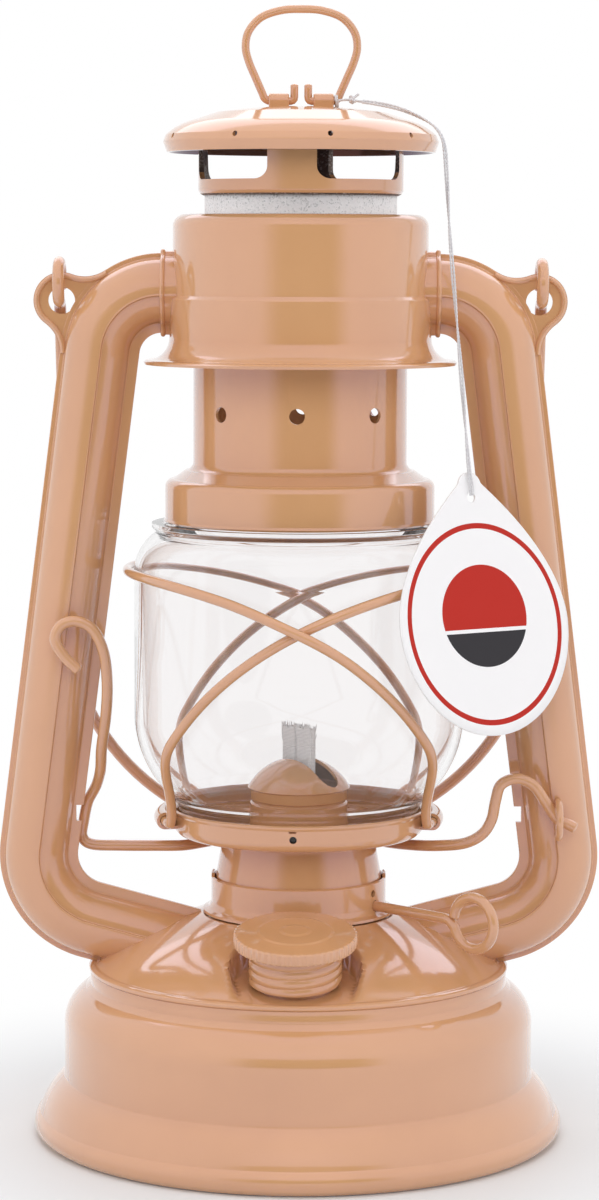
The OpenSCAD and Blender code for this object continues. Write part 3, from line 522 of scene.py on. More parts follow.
def makeCotton(name, light, dark, scale, strength, stretch=1.0):
    material, tree, shader = newMaterial(name)
    place = objectPlace(tree)
    weave = addNode(tree, "TexWave", Vector=place, bands_direction="Z", Scale=scale, Distortion=1.5)
    drawn = addNode(tree, "Mapping", Vector=place, Scale=(1, 1, stretch))
    weft = addNode(tree, "TexNoise", Vector=drawn.outputs["Vector"], Scale=2600.0, Detail=3.0)
    both = addMath(tree, "MULTIPLY", weave.outputs["Fac"], weft.outputs["Fac"])
    setInputs(shader, {
        "Base Color": addRamp(tree, both, [(0.05, dark), (0.3, light)]),
        "Roughness": 0.85,
        "Sheen Weight": 0.3,
    })
    addBump(tree, shader, both, strength, 0.0003)
    return material


paint = makeEnamel("salmonEnamel")
# a slightly darker copy of the enamel: painted shade, used on the tank's bottom
paintedMildShade = makeEnamel("enamelPaintedMildShade", 0.8)
# a much darker copy of the enamel: painted shade for the hood's underside and inner wall
paintedDeepShade = makeEnamel("enamelPaintedDeepShade", 0.18)
zinc = makeZinc("zincPlate", (1.0, 0.99, 1.0), (0.6, 0.595, 0.605), 0.85)
sprayed = makeZinc("sprayedZinc", (0.2, 0.155, 0.135), (0.55, 0.5, 0.48), 0.6)
steel = makeZinc("springWire", (0.6, 0.6, 0.6), (0.4, 0.4, 0.4), 0.35)
brass = makeZinc("brassSheet", (0.75, 0.56, 0.28), (0.5, 0.36, 0.16), 0.35)
glass = makeGlass()
rubber = makeRubber()
cotton = makeCotton("wickCotton", (1.0, 1.0, 1.0), (0.7, 0.7, 0.71), 900.0, 0.6, 0.1)
thread = makeCotton("silverThread", (0.97, 0.97, 0.975), (0.42, 0.42, 0.44), 1500.0, 0.4)
print("materials made")


# string with its knot and the card; the string is a loose cord
stringWay = dict(
    points=[
        (15.1, -2.3, 258.4), (18, -3.2, 258), (22, -4.5, 257.2), (26, -5.8, 255.9), (30, -7.1, 254),
        (32.8, -8, 252), (34.5, -8.6, 249.4), (35.2, -9.1, 246), (35.6, -10, 240), (36.4, -12.1, 226),
        (37.6, -14.4, 211), (38.8, -16.8, 197), (40, -19.5, 182), (41, -22.1, 170), (41.6, -23.1, 165.5),
        (41.7, -23.5, 163),
    ],
    d=1.2, strand=0.6, twist=52.0, ply=0.4, plyTwist=2.0,
)


# a line that winds round another one
def windRound(line, out, pitch, phase):
    way = []
    run = 0.0
    side = (line[1] - line[0]).orthogonal()
    for i, p in enumerate(line):
        ahead = (line[min(i + 1, len(line) - 1)] - line[max(i - 1, 0)]).normalized()
        if i:
            run += (p - line[i - 1]).length
        side = (side - ahead * side.dot(ahead)).normalized()
        a = phase + 2 * math.pi * run / pitch
        way.append(p + out * (math.cos(a) * side + math.sin(a) * ahead.cross(side)))
    return way


def makeString():
    w = stringWay
    line = smoothThrough(w["points"], 32)
    parts = []
    for k in range(2):
        strand = windRound(line, (w["d"] - w["strand"]) / 2, w["twist"], math.pi * k)
        for j in range(2):
            ply = windRound(strand, (w["strand"] - w["ply"]) / 2, w["plyTwist"], math.pi * j)
            parts.append(wireData(ply, w["ply"], 6))
    piece = addMesh("tagString", *joinData(*parts), thread, "chimney", ["tag_string"], "string")
    length = sum((b - a).length for a, b in zip(line, line[1:])) * mm
    return piece, [tuple(p * mm) for p in line[::2]], length


string, stringPath, stringLength = makeString()
# the thread goes round the lift ring's foot, back on itself and through a small knot with two loose ends
knotWay = dict(
    d=0.62, foot=(8.45, 0.0, 258.6), turn=1.42, drift=0.55,
    back=[
        (9.6, -1.55, 258.75), (11.2, -1.7, 258.85), (12.6, -1.9, 258.75), (13.9, -2.1, 258.55),
        (15.1, -2.3, 258.4),
    ],
    lump=(12.4, -1.85, 258.9), lumpR=0.95,
    ends=[
        [(12.9, -1.6, 259.3), (13.6, -1.1, 259.9), (14.1, -0.9, 260.3)],
        [(12.2, -2.4, 259.0), (12.6, -3.0, 258.7), (13.3, -3.4, 258.3)],
    ],
)


def makeKnot():
    k = knotWay
    x, y, z = k["foot"]
    steps = 26  # in each of the two turns
    loop = []
    for i in range(2 * steps + 1):
        a = 2 * math.pi * i / steps - math.pi / 2
        along = k["drift"] * i / (2 * steps)
        loop.append((x + along, y + k["turn"] * math.sin(a), z + k["turn"] * math.cos(a)))
    parts = [wireData(loop[:-1] + smoothThrough([loop[-1]] + k["back"], 8), k["d"], 8)]
    c = Vector(k["lump"])
    steps = 24  # in each of the lump's three turns
    turns = []
    for i in range(3 * steps + 1):
        t = 2 * math.pi * i / steps
        r = k["lumpR"] * (0.75 + 0.25 * math.cos(1.5 * t))
        turns.append(c + Vector((0.35 * math.sin(1.5 * t), r * math.cos(t), r * math.sin(t) * 0.9)))
    parts.append(wireData(turns, k["d"], 8))
    for end in k["ends"]:
        parts.append(wireData(smoothThrough([k["lump"]] + end, 6), k["d"], 8))
    return addMesh("stringKnot", *joinData(*parts), thread, "chimney", ["string_knot"], "string")


knot = makeKnot()
tag = dict(
    hole=(41.3, -22.2, 162.3), yaw=33.0, lean=12.0, top=6.2, widest=-30.8, low=-58.2, half=25.0,
    tip=3.4, flank=1.8, t=0.6, bevel=0.12, eye=1.2,
)
# plain print: a ring, and a disc in two colours
cardPrint = dict(
    ringAt=-31.0, ringWide=22.8, ringTall=24.7, ringInner=0.945, discAt=-29.0, discR=12.5,
    splitY=-33.0, gap=0.9,
    white=(0.93, 0.93, 0.925, 1), red=(0.5, 0.022, 0.012, 1), dark=(0.03, 0.028, 0.032, 1),
)


def makeCardMaterial():
    c = cardPrint
    material, tree, shader = newMaterial("printedCard")
    place = addNode(tree, "Attribute", attribute_name="cardPlace").outputs["Vector"]
    split = addNode(tree, "SeparateXYZ", place).outputs

    def reach(wide, tall, at):
        scaled = addNode(tree, "VectorMath", place, (1 / wide, 1 / tall, 0), operation="MULTIPLY")
        away = addNode(tree, "VectorMath", scaled.outputs["Vector"], (0, at / tall, 0), operation="DISTANCE")
        return away.outputs["Value"]

    def band(source, low, high, within):
        above = addMath(tree, "GREATER_THAN", source, low)
        below = addMath(tree, "LESS_THAN", source, high)
        return addMath(tree, "MULTIPLY", addMath(tree, "MULTIPLY", above, below), within)

    front = split["Z"]
    ring = band(reach(c["ringWide"], c["ringTall"], c["ringAt"]), c["ringInner"], 1.0, front)
    disc = band(reach(c["discR"], c["discR"], c["discAt"]), -1.0, 1.0, front)
    upper = band(split["Y"], c["splitY"] + c["gap"], 0.0, disc)
    lower = band(split["Y"], -100.0, c["splitY"], disc)
    colour = c["white"]
    for mask, ink in ((ring, c["red"]), (upper, c["red"]), (lower, c["dark"])):
        mix = addNode(tree, "Mix", data_type="RGBA", Factor=mask)
        setInputs(mix, {6: colour, 7: ink})  # its two colours
        colour = mix.outputs[2]
    grain = addNode(tree, "Group", node_tree=paintGrain, Peel=1800.0, Cloud=60.0).outputs
    setInputs(shader, {
        "Base Color": colour,
        "Roughness": addRange(tree, grain["Haze"], 0.35, 0.5),
        "Specular IOR Level": 0.25,
    })
    addBump(tree, shader, grain["Height"], 0.15, 0.0001)
    return material


# half width of the card at a height: a round tip, full flanks, then half an oval
def cardHalf(y):
    s = tag["top"] - y
    if y < tag["widest"]:
        t = (tag["widest"] - y) / (tag["widest"] - tag["low"])
        return tag["half"] * math.sqrt(max(0.0, 1 - t * t))
    flank = tag["half"] * (1 - (1 - s / (tag["top"] - tag["widest"])) ** tag["flank"])
    nose = math.sqrt(max(0.0, tag["tip"] ** 2 - (tag["tip"] - s) ** 2)) if s < tag["tip"] else 0.0
    return max(flank, nose)


def makeCard():
    middleY, halfTall = (tag["top"] + tag["low"]) / 2, (tag["top"] - tag["low"]) / 2
    count, steps = 72, 24
    outline = []
    for i in range(count):
        y = middleY + halfTall * math.cos(math.pi * (i + 0.5) / count)
        outline.append((-cardHalf(y), y))
    outline += [(-x, y) for x, y in reversed(outline)]
    hole = [Vector(p).normalized() * tag["eye"] for p in outline]
    middle = Vector((0, tag["widest"]))
    t, bevel = tag["t"], tag["bevel"]
    rows = []
    for inset, z in ((bevel, 0.0), (0.0, bevel), (0.0, t - bevel), (bevel, t)):
        edge = [(Vector(p) - middle) * (1 - inset / tag["half"]) + middle for p in outline]
        rows.append([(*p, z) for p in edge])

    # faces of the card: rings from the edge to the hole, so that the print follows them
    def faceRows(row):
        rings = []
        for k in range(1, steps + 1):
            rings.append([(*Vector((x, y)).lerp(h, k / steps), z) for (x, y, z), h in zip(row, hole)])
        return rings

    rows = faceRows(rows[0])[::-1] + rows + faceRows(rows[-1])
    data = [p for row in rows for p in row], gridFaces(len(rows), len(outline), ring=True)
    place = Matrix.Translation(tag["hole"]) @ turned(tag["yaw"], "Z") @ turned(90 - tag["lean"], "X")
    data = placeData(data, place)
    piece = addMesh("hangTag", *data, makeCardMaterial(), "chimney", ["hang_tag"], "card", 50)
    layer = piece.data.attributes.new("cardPlace", "FLOAT_VECTOR", "POINT")
    undo = place.inverted()
    for i, v in enumerate(piece.data.vertices):
        p = undo @ (v.co / mm)
        layer.data[i].vector = (p.x, p.y, 1.0 if p.z > t / 2 else 0.0)
    return piece


card = makeCard()
print("string and card made, string length", round(stringLength, 4))


# the tank: rolled foot, flare, wall, shoulder and seam band
tank = dict(
    t=0.8, beadR=63.2, roll=3.4, flat=0.1, wallR=59.0, flareZ=15.0, flareSwell=0.9,
    shoulderZ=29.0, shoulderSwell=1.3, seamR=52.4, bandZ=38.0, seamZ=41.6,
)


def makeTank():
    bead = (tank["beadR"], tank["roll"] - tank["flat"])
    roll = [(r, max(z, 0.0)) for r, z in turnPoints(bead, tank["roll"], -170, 55, 40)]
    flare = arcPoints(roll[-1], (tank["wallR"], tank["flareZ"]), -tank["flareSwell"], 14)
    upper = (tank["seamR"] + 1.2, tank["bandZ"] - 0.8)
    shoulder = arcPoints((tank["wallR"], tank["shoulderZ"]), upper, -tank["shoulderSwell"], 14)
    line = roll[:-1] + [(*roll[-1], 0.5)] + flare[1:-1]
    line += [(*flare[-1], 2.5), (*shoulder[0], 3.0)] + shoulder[1:-1]
    line += [(*shoulder[-1], 0.6), (tank["seamR"], tank["bandZ"] + 0.6, 0.5), (tank["seamR"], tank["seamZ"])]
    addPainted("tank_shell", turnedSheet(line, tank["t"], 240), sharp=60)


makeTank()

# the dome, pressed from one sheet with the filler's pocket
dome = dict(topR=24.5, topZ=56.0, swell=1.2, lip=0.4, holeR=20.5, t=0.8, rings=120, steps=480, gather=0.55)
filler = dict(x=-0.7, y=-38.2, z=45.36, tilt=10.0, pocketR=15.6, mouth=25.0, reach=22.0, soft=0.6)


def domeHeight(r):
    low = (tank["seamR"] - 1.4, tank["seamZ"] + 1.7)
    if r >= low[0]:
        return low[1]
    if r <= dome["topR"]:
        return dome["topZ"]
    (cx, cz), radius = arcCentre(low, (dome["topR"], dome["topZ"]), -dome["swell"])[:2]
    return cz + math.sqrt(max(radius * radius - (r - cx) ** 2, 0.0))


def pocketDepth(x, y):
    # distance inside the pocket's outline, and the height of its floor
    px, py = x - filler["x"], y - filler["y"]
    floor = filler["z"] + py * math.tan(math.radians(filler["tilt"]))
    if py > 0:
        inside = filler["pocketR"] - math.hypot(px, py)
    else:
        half = filler["pocketR"] - (filler["mouth"] / 2 - filler["pocketR"]) * py / filler["reach"]
        inside = half - abs(px)
    return inside, floor


def makeDome():
    r, z, out = tank["seamR"], tank["seamZ"], dome["lip"]
    lipLine = roundLine([(r, z + 0.05), (r + out, z + 0.55), (r + out, z + 1.2), (r - 0.3, z + 1.62)], 0.35)
    n, steps = dome["rings"], dome["steps"]
    low = tank["seamR"] - 1.0
    radii = [low + (dome["holeR"] - low) * i / n for i in range(n + 1)]
    points = []
    for i in range(steps):
        # finer steps round the front, where the pocket is
        t = 2 * math.pi * i / steps
        a = t - dome["gather"] * math.sin(t) + math.pi / 2
        c, s = math.cos(a), math.sin(a)
        for r, z in lipLine:
            inside, floor = pocketDepth(r * c, r * s)
            if inside > 0:
                z = min(z, floor + 0.15)
            points.append((r * c, r * s, z))
        for r in radii:
            x, y = r * c, r * s
            z = domeHeight(r)
            inside, floor = pocketDepth(x, y)
            step = min(max((inside + filler["soft"]) / (2 * filler["soft"]), 0.0), 1.0)
            step = step * step * (3 - 2 * step)
            if floor < z:
                z += (floor - z) * step
            points.append((x, y, z))
    faces = gridFaces(steps, len(lipLine) + len(radii), wrap=False, ring=True)
    nodes = ["tank_dome", "filler_pocket"]
    piece = addMesh("tankDome", points, faces, paint, "frame", nodes, "paint", 75)
    thick = piece.modifiers.new("sheet", "SOLIDIFY")
    thick.thickness = dome["t"] * mm
    thick.offset = -1.0
    graph = bpy.context.evaluated_depsgraph_get()
    solid = bpy.data.meshes.new_from_object(piece.evaluated_get(graph))
    piece.modifiers.clear()
    piece.data = solid


makeDome()
print("tank and dome made")


# fuel cap: milled disc and rolled screw skirt
cap = dict(
    neck=11.3, gasket=1.2, rim=3.0, r=15.0, notches=54, notch=0.26, skirtR=11.4, skirtT=1.0, foot=1.2,
    pitch=2.3, thread=0.42,
)


def makeCap():
    top = cap["neck"] + 0.03 + cap["gasket"]
    low = top + 0.8 - cap["rim"]
    steps = cap["notches"] * 8
    r = cap["r"]
    line = [
        (0.001, top + 1.5), (3.0, top + 1.5, 1.0), (4.0, top + 1.3, 1.0), (8.6, top + 1.3, 1.0),
        (9.4, top + 1.1, 1.0), (r - 1.6, top + 0.8, 1.2), (r - 0.3, top + 0.72, 0.4), (r, top + 0.4, 0.3),
        (r, low + 0.3, 0.3), (r - 0.3, low, 0.25), (r - 1.5, low, 0.2), (r - 1.6, low + 0.3, 0.2),
        (r - 1.7, top, 0.2), (0.001, top),
    ]
    disc = roundLine(line[::-1], 0.2)[::-1]

    def milled(radius, z, a):
        if radius > r - 0.7 and low + 0.1 < z < top + 0.75:
            wave = (1 - math.cos(cap["notches"] * a)) / 2
            radius -= cap["notch"] * wave ** 0.7
        return radius, z

    plate = latheData(disc, steps, milled)
    count = 48
    foot, tall = cap["foot"], top + 0.2 - cap["foot"]
    inner = cap["skirtR"] - cap["skirtT"]
    skirt = [(cap["skirtR"], foot + tall * i / count) for i in range(count + 1)]
    skirt += [(inner, top + 0.2), (inner, foot)]

    def threaded(radius, z, a):
        if radius > inner + 0.2 and z < low + 1:
            turn = (z - foot) / cap["pitch"] - a / (2 * math.pi)
            radius -= cap["thread"] * (1 - abs(math.sin(math.pi * turn)) ** 0.8)
        return radius, z

    data = joinData(plate, latheData(skirt, 128, threaded))
    place = Matrix.Translation((filler["x"], filler["y"], filler["z"])) @ turned(filler["tilt"], "X")
    addPainted("fuel_cap", placeData(data, place), "cap")


makeCap()
print("cap made")


# side tubes: two pressed halves with a seam flange, a main bulge and an inner terrace
tube = dict(
    t=0.8, r=8.3, step=1.0, terraceU=-0.4, stepU=-1.0, flangeOut=1.2, flangeIn=2.5, reach=75.3, lean=7.1,
    dip=15.0, entryZ=211.7, lowZ=70.5, highR=15.85, lowR=17.85, stubEnd=29.4, dipX=27.2, notchZ=82.2,
    notch=4.0, notchSet=1.6,
)
tubeOut = tube["r"] + tube["flangeOut"]
terraceR = tube["r"] - tube["step"]
tubeIn = terraceR - tube["terraceU"] + tube["flangeIn"]


# the lines a tube follows, in the plane of the left one: two bends and the straight between them
def tubeFrames():
    lowC = (-(tube["reach"] - tube["lowR"] - tubeOut), tube["lowZ"])
    c, s = spoke(tube["lean"])
    foot = (lowC[0] - tube["lowR"] * c, lowC[1] + tube["lowR"] * s)
    highZ = tube["entryZ"] - tube["highR"]
    run = (highZ + tube["highR"] * s - foot[1]) / c
    highC = (foot[0] + run * s + tube["highR"] * c, highZ)
    return dict(lowC=lowC, highC=highC, foot=foot, upward=(s, c), run=run)


def tubeRings(steps=30, straight=12):
    way = tubeFrames()
    (x, z), (ux, uz) = way["foot"], way["upward"]
    lean, dip = tube["lean"], tube["dip"]
    rings = [((-tube["stubEnd"], tube["entryZ"]), 90.0)]
    for i in range(steps + 1):
        a = 90 + (90 - lean) * i / steps
        rings.append((onArc(way["highC"], tube["highR"], a), a))
    for i in range(1, straight):
        s = way["run"] * (1 - i / straight)
        rings.append(((x + ux * s, z + uz * s), 180 - lean))
    for i in range(steps + 1):
        a = 180 - lean + (90 + lean - dip) * i / steps
        rings.append((onArc(way["lowC"], tube["lowR"], a), a))
    x, z = rings[-1][0]
    rings.append(((-tube["dipX"], z + (tube["dipX"] + x) * math.tan(math.radians(dip))), 270 - dip))
    return rings


def tubeSection(outerOnly=False):
    t = tube["t"]
    stepA = math.degrees(math.acos((tube["stepU"] - tube["terraceU"]) / terraceR))
    mainA = math.degrees(math.acos(tube["stepU"] / tube["r"]))
    low = math.degrees(math.asin(t / tube["r"]))
    lowT = math.degrees(math.asin(t / terraceR))
    terrace = turnPoints((tube["terraceU"], 0), terraceR, 180 - lowT, stepA, 14)
    main = turnPoints((0, 0), tube["r"], mainA, low, 22)
    line = [(-tubeIn, 0.02), (-tubeIn, t, 0.25), (*terrace[0], 0.9)] + terrace[1:-1]
    line += [(*terrace[-1], 0.5), (*main[0], 0.5)] + main[1:-1]
    line += [(*main[-1], 0.7), (tubeOut, t, 0.25), (tubeOut, 0.02)]
    outer = roundLine(line, 0.0, 4)
    if outerOnly:
        return outer
    stepB = math.degrees(math.acos((tube["stepU"] + t - tube["terraceU"]) / (terraceR - t)))
    mainB = math.degrees(math.acos((tube["stepU"] + t) / (tube["r"] - t)))
    inner = turnPoints((0, 0), tube["r"] - t, 0, mainB, 14)
    inner += turnPoints((tube["terraceU"], 0), terraceR - t, stepB, 180, 10)
    return outer + [(u, max(w, 0.02)) for u, w in inner]


# the lever's catch is a notch in the inner flange
def notchData():
    way = tubeFrames()
    (x, z), (ux, uz) = way["foot"], way["upward"]
    s = (tube["notchZ"] - z) / uz
    wide = tube["notch"]
    x += ux * s + uz * tubeIn - tube["notchSet"]
    z += uz * s - ux * tubeIn - wide / 2
    return prismData([(x, z), (x + wide, z), (x + wide, z + wide), (x, z + wide)], -1, 3)


def makeTubes():
    section, rings = tubeSection(), tubeRings()
    faces = cappedFaces(len(rings), len(section))
    notch = notchData()
    for side, sign in (("left", 1), ("right", -1)):
        for half, front in (("front", 1), ("back", -1)):
            points = []
            for (x, z), a in rings:
                c, s = spoke(a)
                points += [(sign * (x + u * c), -front * w, z + u * s) for u, w in section]
            cutter = [(sign * x, -front * y, z) for x, z, y in notch[0]], notch[1]
            addPainted(side + "_tube_" + half, cutData((points, faces), cutter), sharp=55)


makeTubes()

# ears for the bail: a web with hollowed flanks and a beaded edge
ear = dict(x=59.2, z=209.4, r=7.0, hole=3.3, web=9.0, t=0.75, bead=0.85, swell=1.75)


def meetingPoint(p, q, a, b, side):
    p, q = Vector(p), Vector(q)
    span = (q - p).length
    along = (q - p) / span
    x = (a * a - b * b + span * span) / (2 * span)
    return p + along * x + Vector((-along.y, along.x)) * side * math.sqrt(a * a - x * x)


def headingOf(p, q):
    return math.degrees(math.atan2(q[1] - p[1], q[0] - p[0]))


def earEdge():
    at = (-ear["x"], ear["z"])
    highC = tubeFrames()["highC"]
    seam = tube["highR"] + tubeOut
    over = meetingPoint(at, highC, ear["r"] + ear["web"], seam + ear["web"], 1)
    under = meetingPoint(at, highC, ear["r"] + ear["web"], seam + ear["web"], -1)
    edge = turnPoints(over, ear["web"], headingOf(over, highC), headingOf(over, at), 14)
    edge += turnPoints(at, ear["r"], headingOf(at, over), headingOf(at, under) + 360, 44)[1:]
    edge += turnPoints(under, ear["web"], headingOf(under, at), headingOf(under, highC), 14)[1:]
    foot = turnPoints(highC, seam - 0.5, headingOf(highC, under), headingOf(highC, over), 20)
    return edge, foot


def makeEars():
    edge, foot = earEdge()
    web = prismData(edge + foot, -ear["t"], ear["t"])
    flat = cutData(web, rodData((-ear["x"], ear["z"], -4), (-ear["x"], ear["z"], 4), ear["hole"], 48))
    n = len(edge)
    inset = []
    for i, p in enumerate(edge):
        a, b = Vector(edge[max(i - 1, 0)]), Vector(edge[min(i + 1, n - 1)])
        ahead = (b - a).normalized()
        q = Vector(p) + Vector((-ahead.y, ahead.x)) * ear["bead"]
        inset.append((q.x, q.y, 0))
    bead = sweepData(inset, ear["bead"], 14)
    bead = [(x, y, z * ear["swell"]) for x, y, z in bead[0]], bead[1]
    for side, sign in (("left", 1), ("right", -1)):
        parts = [([(sign * x, -y, z) for x, z, y in part[0]], part[1]) for part in (flat, bead)]
        addPainted(side + "_ear", joinData(*parts))


makeEars()

# sleeves where the tubes enter the crown: a bead and a low band round the whole section
sleeve = dict(
    rings=[
        (34.7, 0.0), (34.7, 0.5), (34.55, 0.85), (34.2, 1.0), (33.8, 0.95), (33.55, 0.7), (33.45, 0.5),
        (29.6, 0.5), (29.6, 0.0),
    ],
)


def makeSleeves():
    half = tubeSection(True)
    loop = cleanLine(half + [(u, -w) for u, w in reversed(half)], 0.12)
    n = len(loop)
    normals = []
    for i in range(n):
        ahead = Vector(loop[(i + 1) % n]) - Vector(loop[i - 1])
        normals.append(Vector((-ahead.y, ahead.x)).normalized())
    most = max(g for x, g in sleeve["rings"])
    closed = loop + loop[:1]
    kept = [i for i in range(n) if lineGap(Vector(loop[i]) + normals[i] * most, closed) > 0.97 * most]
    points = []
    for x, g in sleeve["rings"]:
        for i in kept:
            u, w = Vector(loop[i]) + normals[i] * g
            points.append((-x, -w, tube["entryZ"] + u))
    faces = gridFaces(len(sleeve["rings"]), len(kept), ring=True)
    for side, sign in (("left", 1), ("right", -1)):
        addPainted(side + "_sleeve", ([(sign * x, y, z) for x, y, z in points], faces), sharp=45)


makeSleeves()
print("tubes, ears and sleeves made")


# bent wires
guard = dict(d=2.5, r=43.0, topZ=142.5, lugR=34.3, lugZ=80.2, foot=22.0, ease=22.0, over=2.6, crossing=24.0)


# each wire climbs from one lug to the far side of the globe and back, and one steps over the other
def guardWay(side, over):
    g = guard
    line = []
    for a in range(10, 351):
        b = min(a, 360 - a)
        q = (180 - max(b, g["foot"])) / (180 - g["foot"])
        gap = min(abs(b - 90) / g["crossing"], 1)
        e = min(max((b - g["foot"]) / g["ease"], 0), 1)
        r = g["lugR"] + (g["r"] - g["lugR"]) * e * e * (3 - 2 * e) + over * (1 + math.cos(math.pi * gap)) / 2
        c, s = spoke(a)
        line.append((side * r * c, -r * s, g["topZ"] - (g["topZ"] - g["lugZ"]) * q ** 3))
    return line


addWire("left_guard_wire", guardWay(-1, 0), guard["d"], "globe_carrier")
addWire("right_guard_wire", guardWay(1, guard["over"]), guard["d"], "globe_carrier")

lever = dict(
    d=2.8, pivot=(64.605, -10.9, 81.2),
    way=[
        (4, -0.5, -1.8), (2, -0.2, -0.8), (0, 0, 0), (-1.8, 0, 2.2), (-3.6, 0, 5), (-6.4, 0, 8.8),
        (-10.6, 0, 10.4), (-14.4, 0, 8.8), (-15.7, 0, 4.8), (-16.6, 0.1, 0.2), (-18.8, 0.6, -3.6),
        (-23, 2, -6.2), (-29, 5, -7.4), (-35, 10, -8.2), (-41, 19, -9.2), (-46.2, 25.5, -9.2),
        (-53, 31.4, -8.5), (-59, 34, -7.4), (-65, 35, -6.9), (-71, 34, -7.4), (-77, 31.4, -8.5),
        (-83.8, 25.5, -9.2), (-88.6, 19.5, -9.2), (-94, 14.6, -9.2), (-101, 14, -9.2), (-110, 14, -9.2),
        (-117, 14.6, -9), (-119.4, 14.8, -7), (-119, 14.8, -3), (-117.9, 14.4, 2), (-115.7, 12, 6.4),
        (-114.4, 8.6, 11), (-113.9, 5.6, 17), (-112.6, 2.4, 26), (-112.2, 0.6, 34), (-113, -0.3, 41.5),
        (-115.6, -0.6, 47.2), (-119.6, -0.7, 49.4), (-123.4, -0.7, 48.4), (-125, -0.7, 45), (-123, -0.6, 41),
        (-119.4, -0.4, 37.4),
    ],
)
leverLine = [p + Vector(lever["pivot"]) for p in smoothThrough(lever["way"], 8)]
addWire("lift_lever", leverLine, lever["d"], "lift_lever")

knob = dict(d=2.6, turn=43.2, z=59.4, off=5.1, reach=53.6, ringR=6.3, inner=-5.0)


def makeKnob():
    start = knob["reach"] - knob["ringR"]
    run = start - 4 - knob["inner"]
    line = [(knob["inner"] + run * i / 20, 0, 0) for i in range(21)]
    line += [(start - 2.4, 0, -0.05), (start - 1.2, 0, -0.4), (start - 0.35, 0, -1.2)]
    line += [(x, 0, z) for x, z in turnPoints((knob["reach"], 0), knob["ringR"], 196, 532, 69)]
    place = Matrix.Translation((0, 0, knob["z"])) @ turned(-knob["turn"], "Z")
    place = place @ Matrix.Translation((0, knob["off"], 0))
    addPainted("wick_knob", placeData(wireData(line, knob["d"]), place), "wick_knob", 40)


makeKnob()

ring = dict(d=2.0, z=258.6, halfW=13.75, h=22.4, boss=8.0, prong=1.7)


def makeRing():
    w, h = ring["halfW"], ring["h"]
    half = [
        (ring["boss"], 0, 0), (w - 4.7, 0, 0.7), (w - 4, 0, 2.2), (w - 2.5, 0, 5.6), (w - 0.8, 0, 9.6),
        (w, 0, h - 9.2), (w - 0.8, 0, h - 5.4), (w - 3.9, 0, h - 2), (w / 2.8, 0, h - 0.3),
    ]
    way = smoothThrough(half + [(0, 0, h)] + [(-x, y, z) for x, y, z in reversed(half)], 10)

    def ending(s):
        p = ring["prong"]
        pin = [(s * x, 0, 0) for x in (ring["boss"] - 0.2, 6.5, 5, 3.5, p + 0.9)]
        bend = [(s * (p + 0.35), 0, 0.15), (s * (p + 0.08), 0, 0.5), (s * p, 0, 1.0)]
        return pin + bend + [(s * p, 0, z) for z in (1.8, 2.8, 3.8)]

    line = list(reversed(ending(1))) + way[1:-1] + ending(-1)
    line = [Vector(p) + Vector((0, 0, ring["z"])) for p in line]
    addWire("lift_ring", line, ring["d"], "lift_ring")


makeRing()

bail = dict(d=3.0, x=59.8, z=213.95, eyeR=4.85, bendR=2.5, lean=8.0, knee=6.0, leg=89.4, tilt=12.0)


# one side of the bail: open eye, bend, neck and leg, as depth and height
def bailLeg():
    e, f = bail["eyeR"], bail["bendR"]
    heading = bail["lean"] - 90
    bend = math.degrees(math.asin(f / (e + f)))
    out = heading - bend
    line = turnPoints((0, 0), e, heading - 308, out, 56)
    line += turnPoints(onArc((0, 0), e + f, out), f, out + 180, heading + 90, 10)[1:]
    along = Vector(spoke(heading))
    knee = along * e / math.sin(math.radians(bail["lean"]))
    before, after = knee - along * bail["knee"], knee - Vector((0, bail["knee"]))
    for i in range(7):
        t = i / 6
        line.append(tuple((1 - t) ** 2 * before + 2 * t * (1 - t) * knee + t * t * after))
    return line


def makeBail():
    leg, x = bailLeg(), bail["x"]
    line = [(-x, y, z) for y, z in leg]
    for i in range(61):
        a = math.pi * i / 60
        line.append((-x * math.cos(a), bail["eyeR"], -bail["leg"] - x * math.sin(a)))
    line += [(x, y, z) for y, z in reversed(leg)]
    place = Matrix.Translation((0, 0, bail["z"])) @ turned(bail["tilt"], "X")
    addPainted("bail", placeData(wireData(line, bail["d"], 18), place), "bail", 40)


makeBail()
print("wires made")


# crown, chimney barrel, draft tube, gallery and hood
crown = dict(
    edgeR=39.0, edgeZ=194.4, lowR=32.6, stepZ=210.4, highR=31.7, topZ=230.8, corner=3.0, holeR=24.3, t=0.8,
)


def makeCrown():
    c = crown
    line = [(c["edgeR"], c["edgeZ"])]
    line += arcPoints((c["edgeR"] - 0.6, c["edgeZ"] + 0.5), (c["lowR"], c["edgeZ"] + 5.6), 1.6, 14)
    line += [(c["lowR"], c["stepZ"] - 0.5, 0.5), (c["highR"], c["stepZ"] + 0.4, 0.5)]
    line += turnPoints((c["highR"] - c["corner"], c["topZ"] - c["corner"]), c["corner"], 0, 90, 12)
    line += [(c["holeR"], c["topZ"])]
    addPainted("crown", turnedSheet(line, c["t"], 200), sharp=60)


makeCrown()

barrel = dict(
    holderR=33.6, lipZ=155.0, holderZ=163.5, r=26.6, topZ=200.0, ventZ=182.0, ventD=3.8, vents=8,
    ventTurn=88.4, neck=23.85, t=0.8,
)


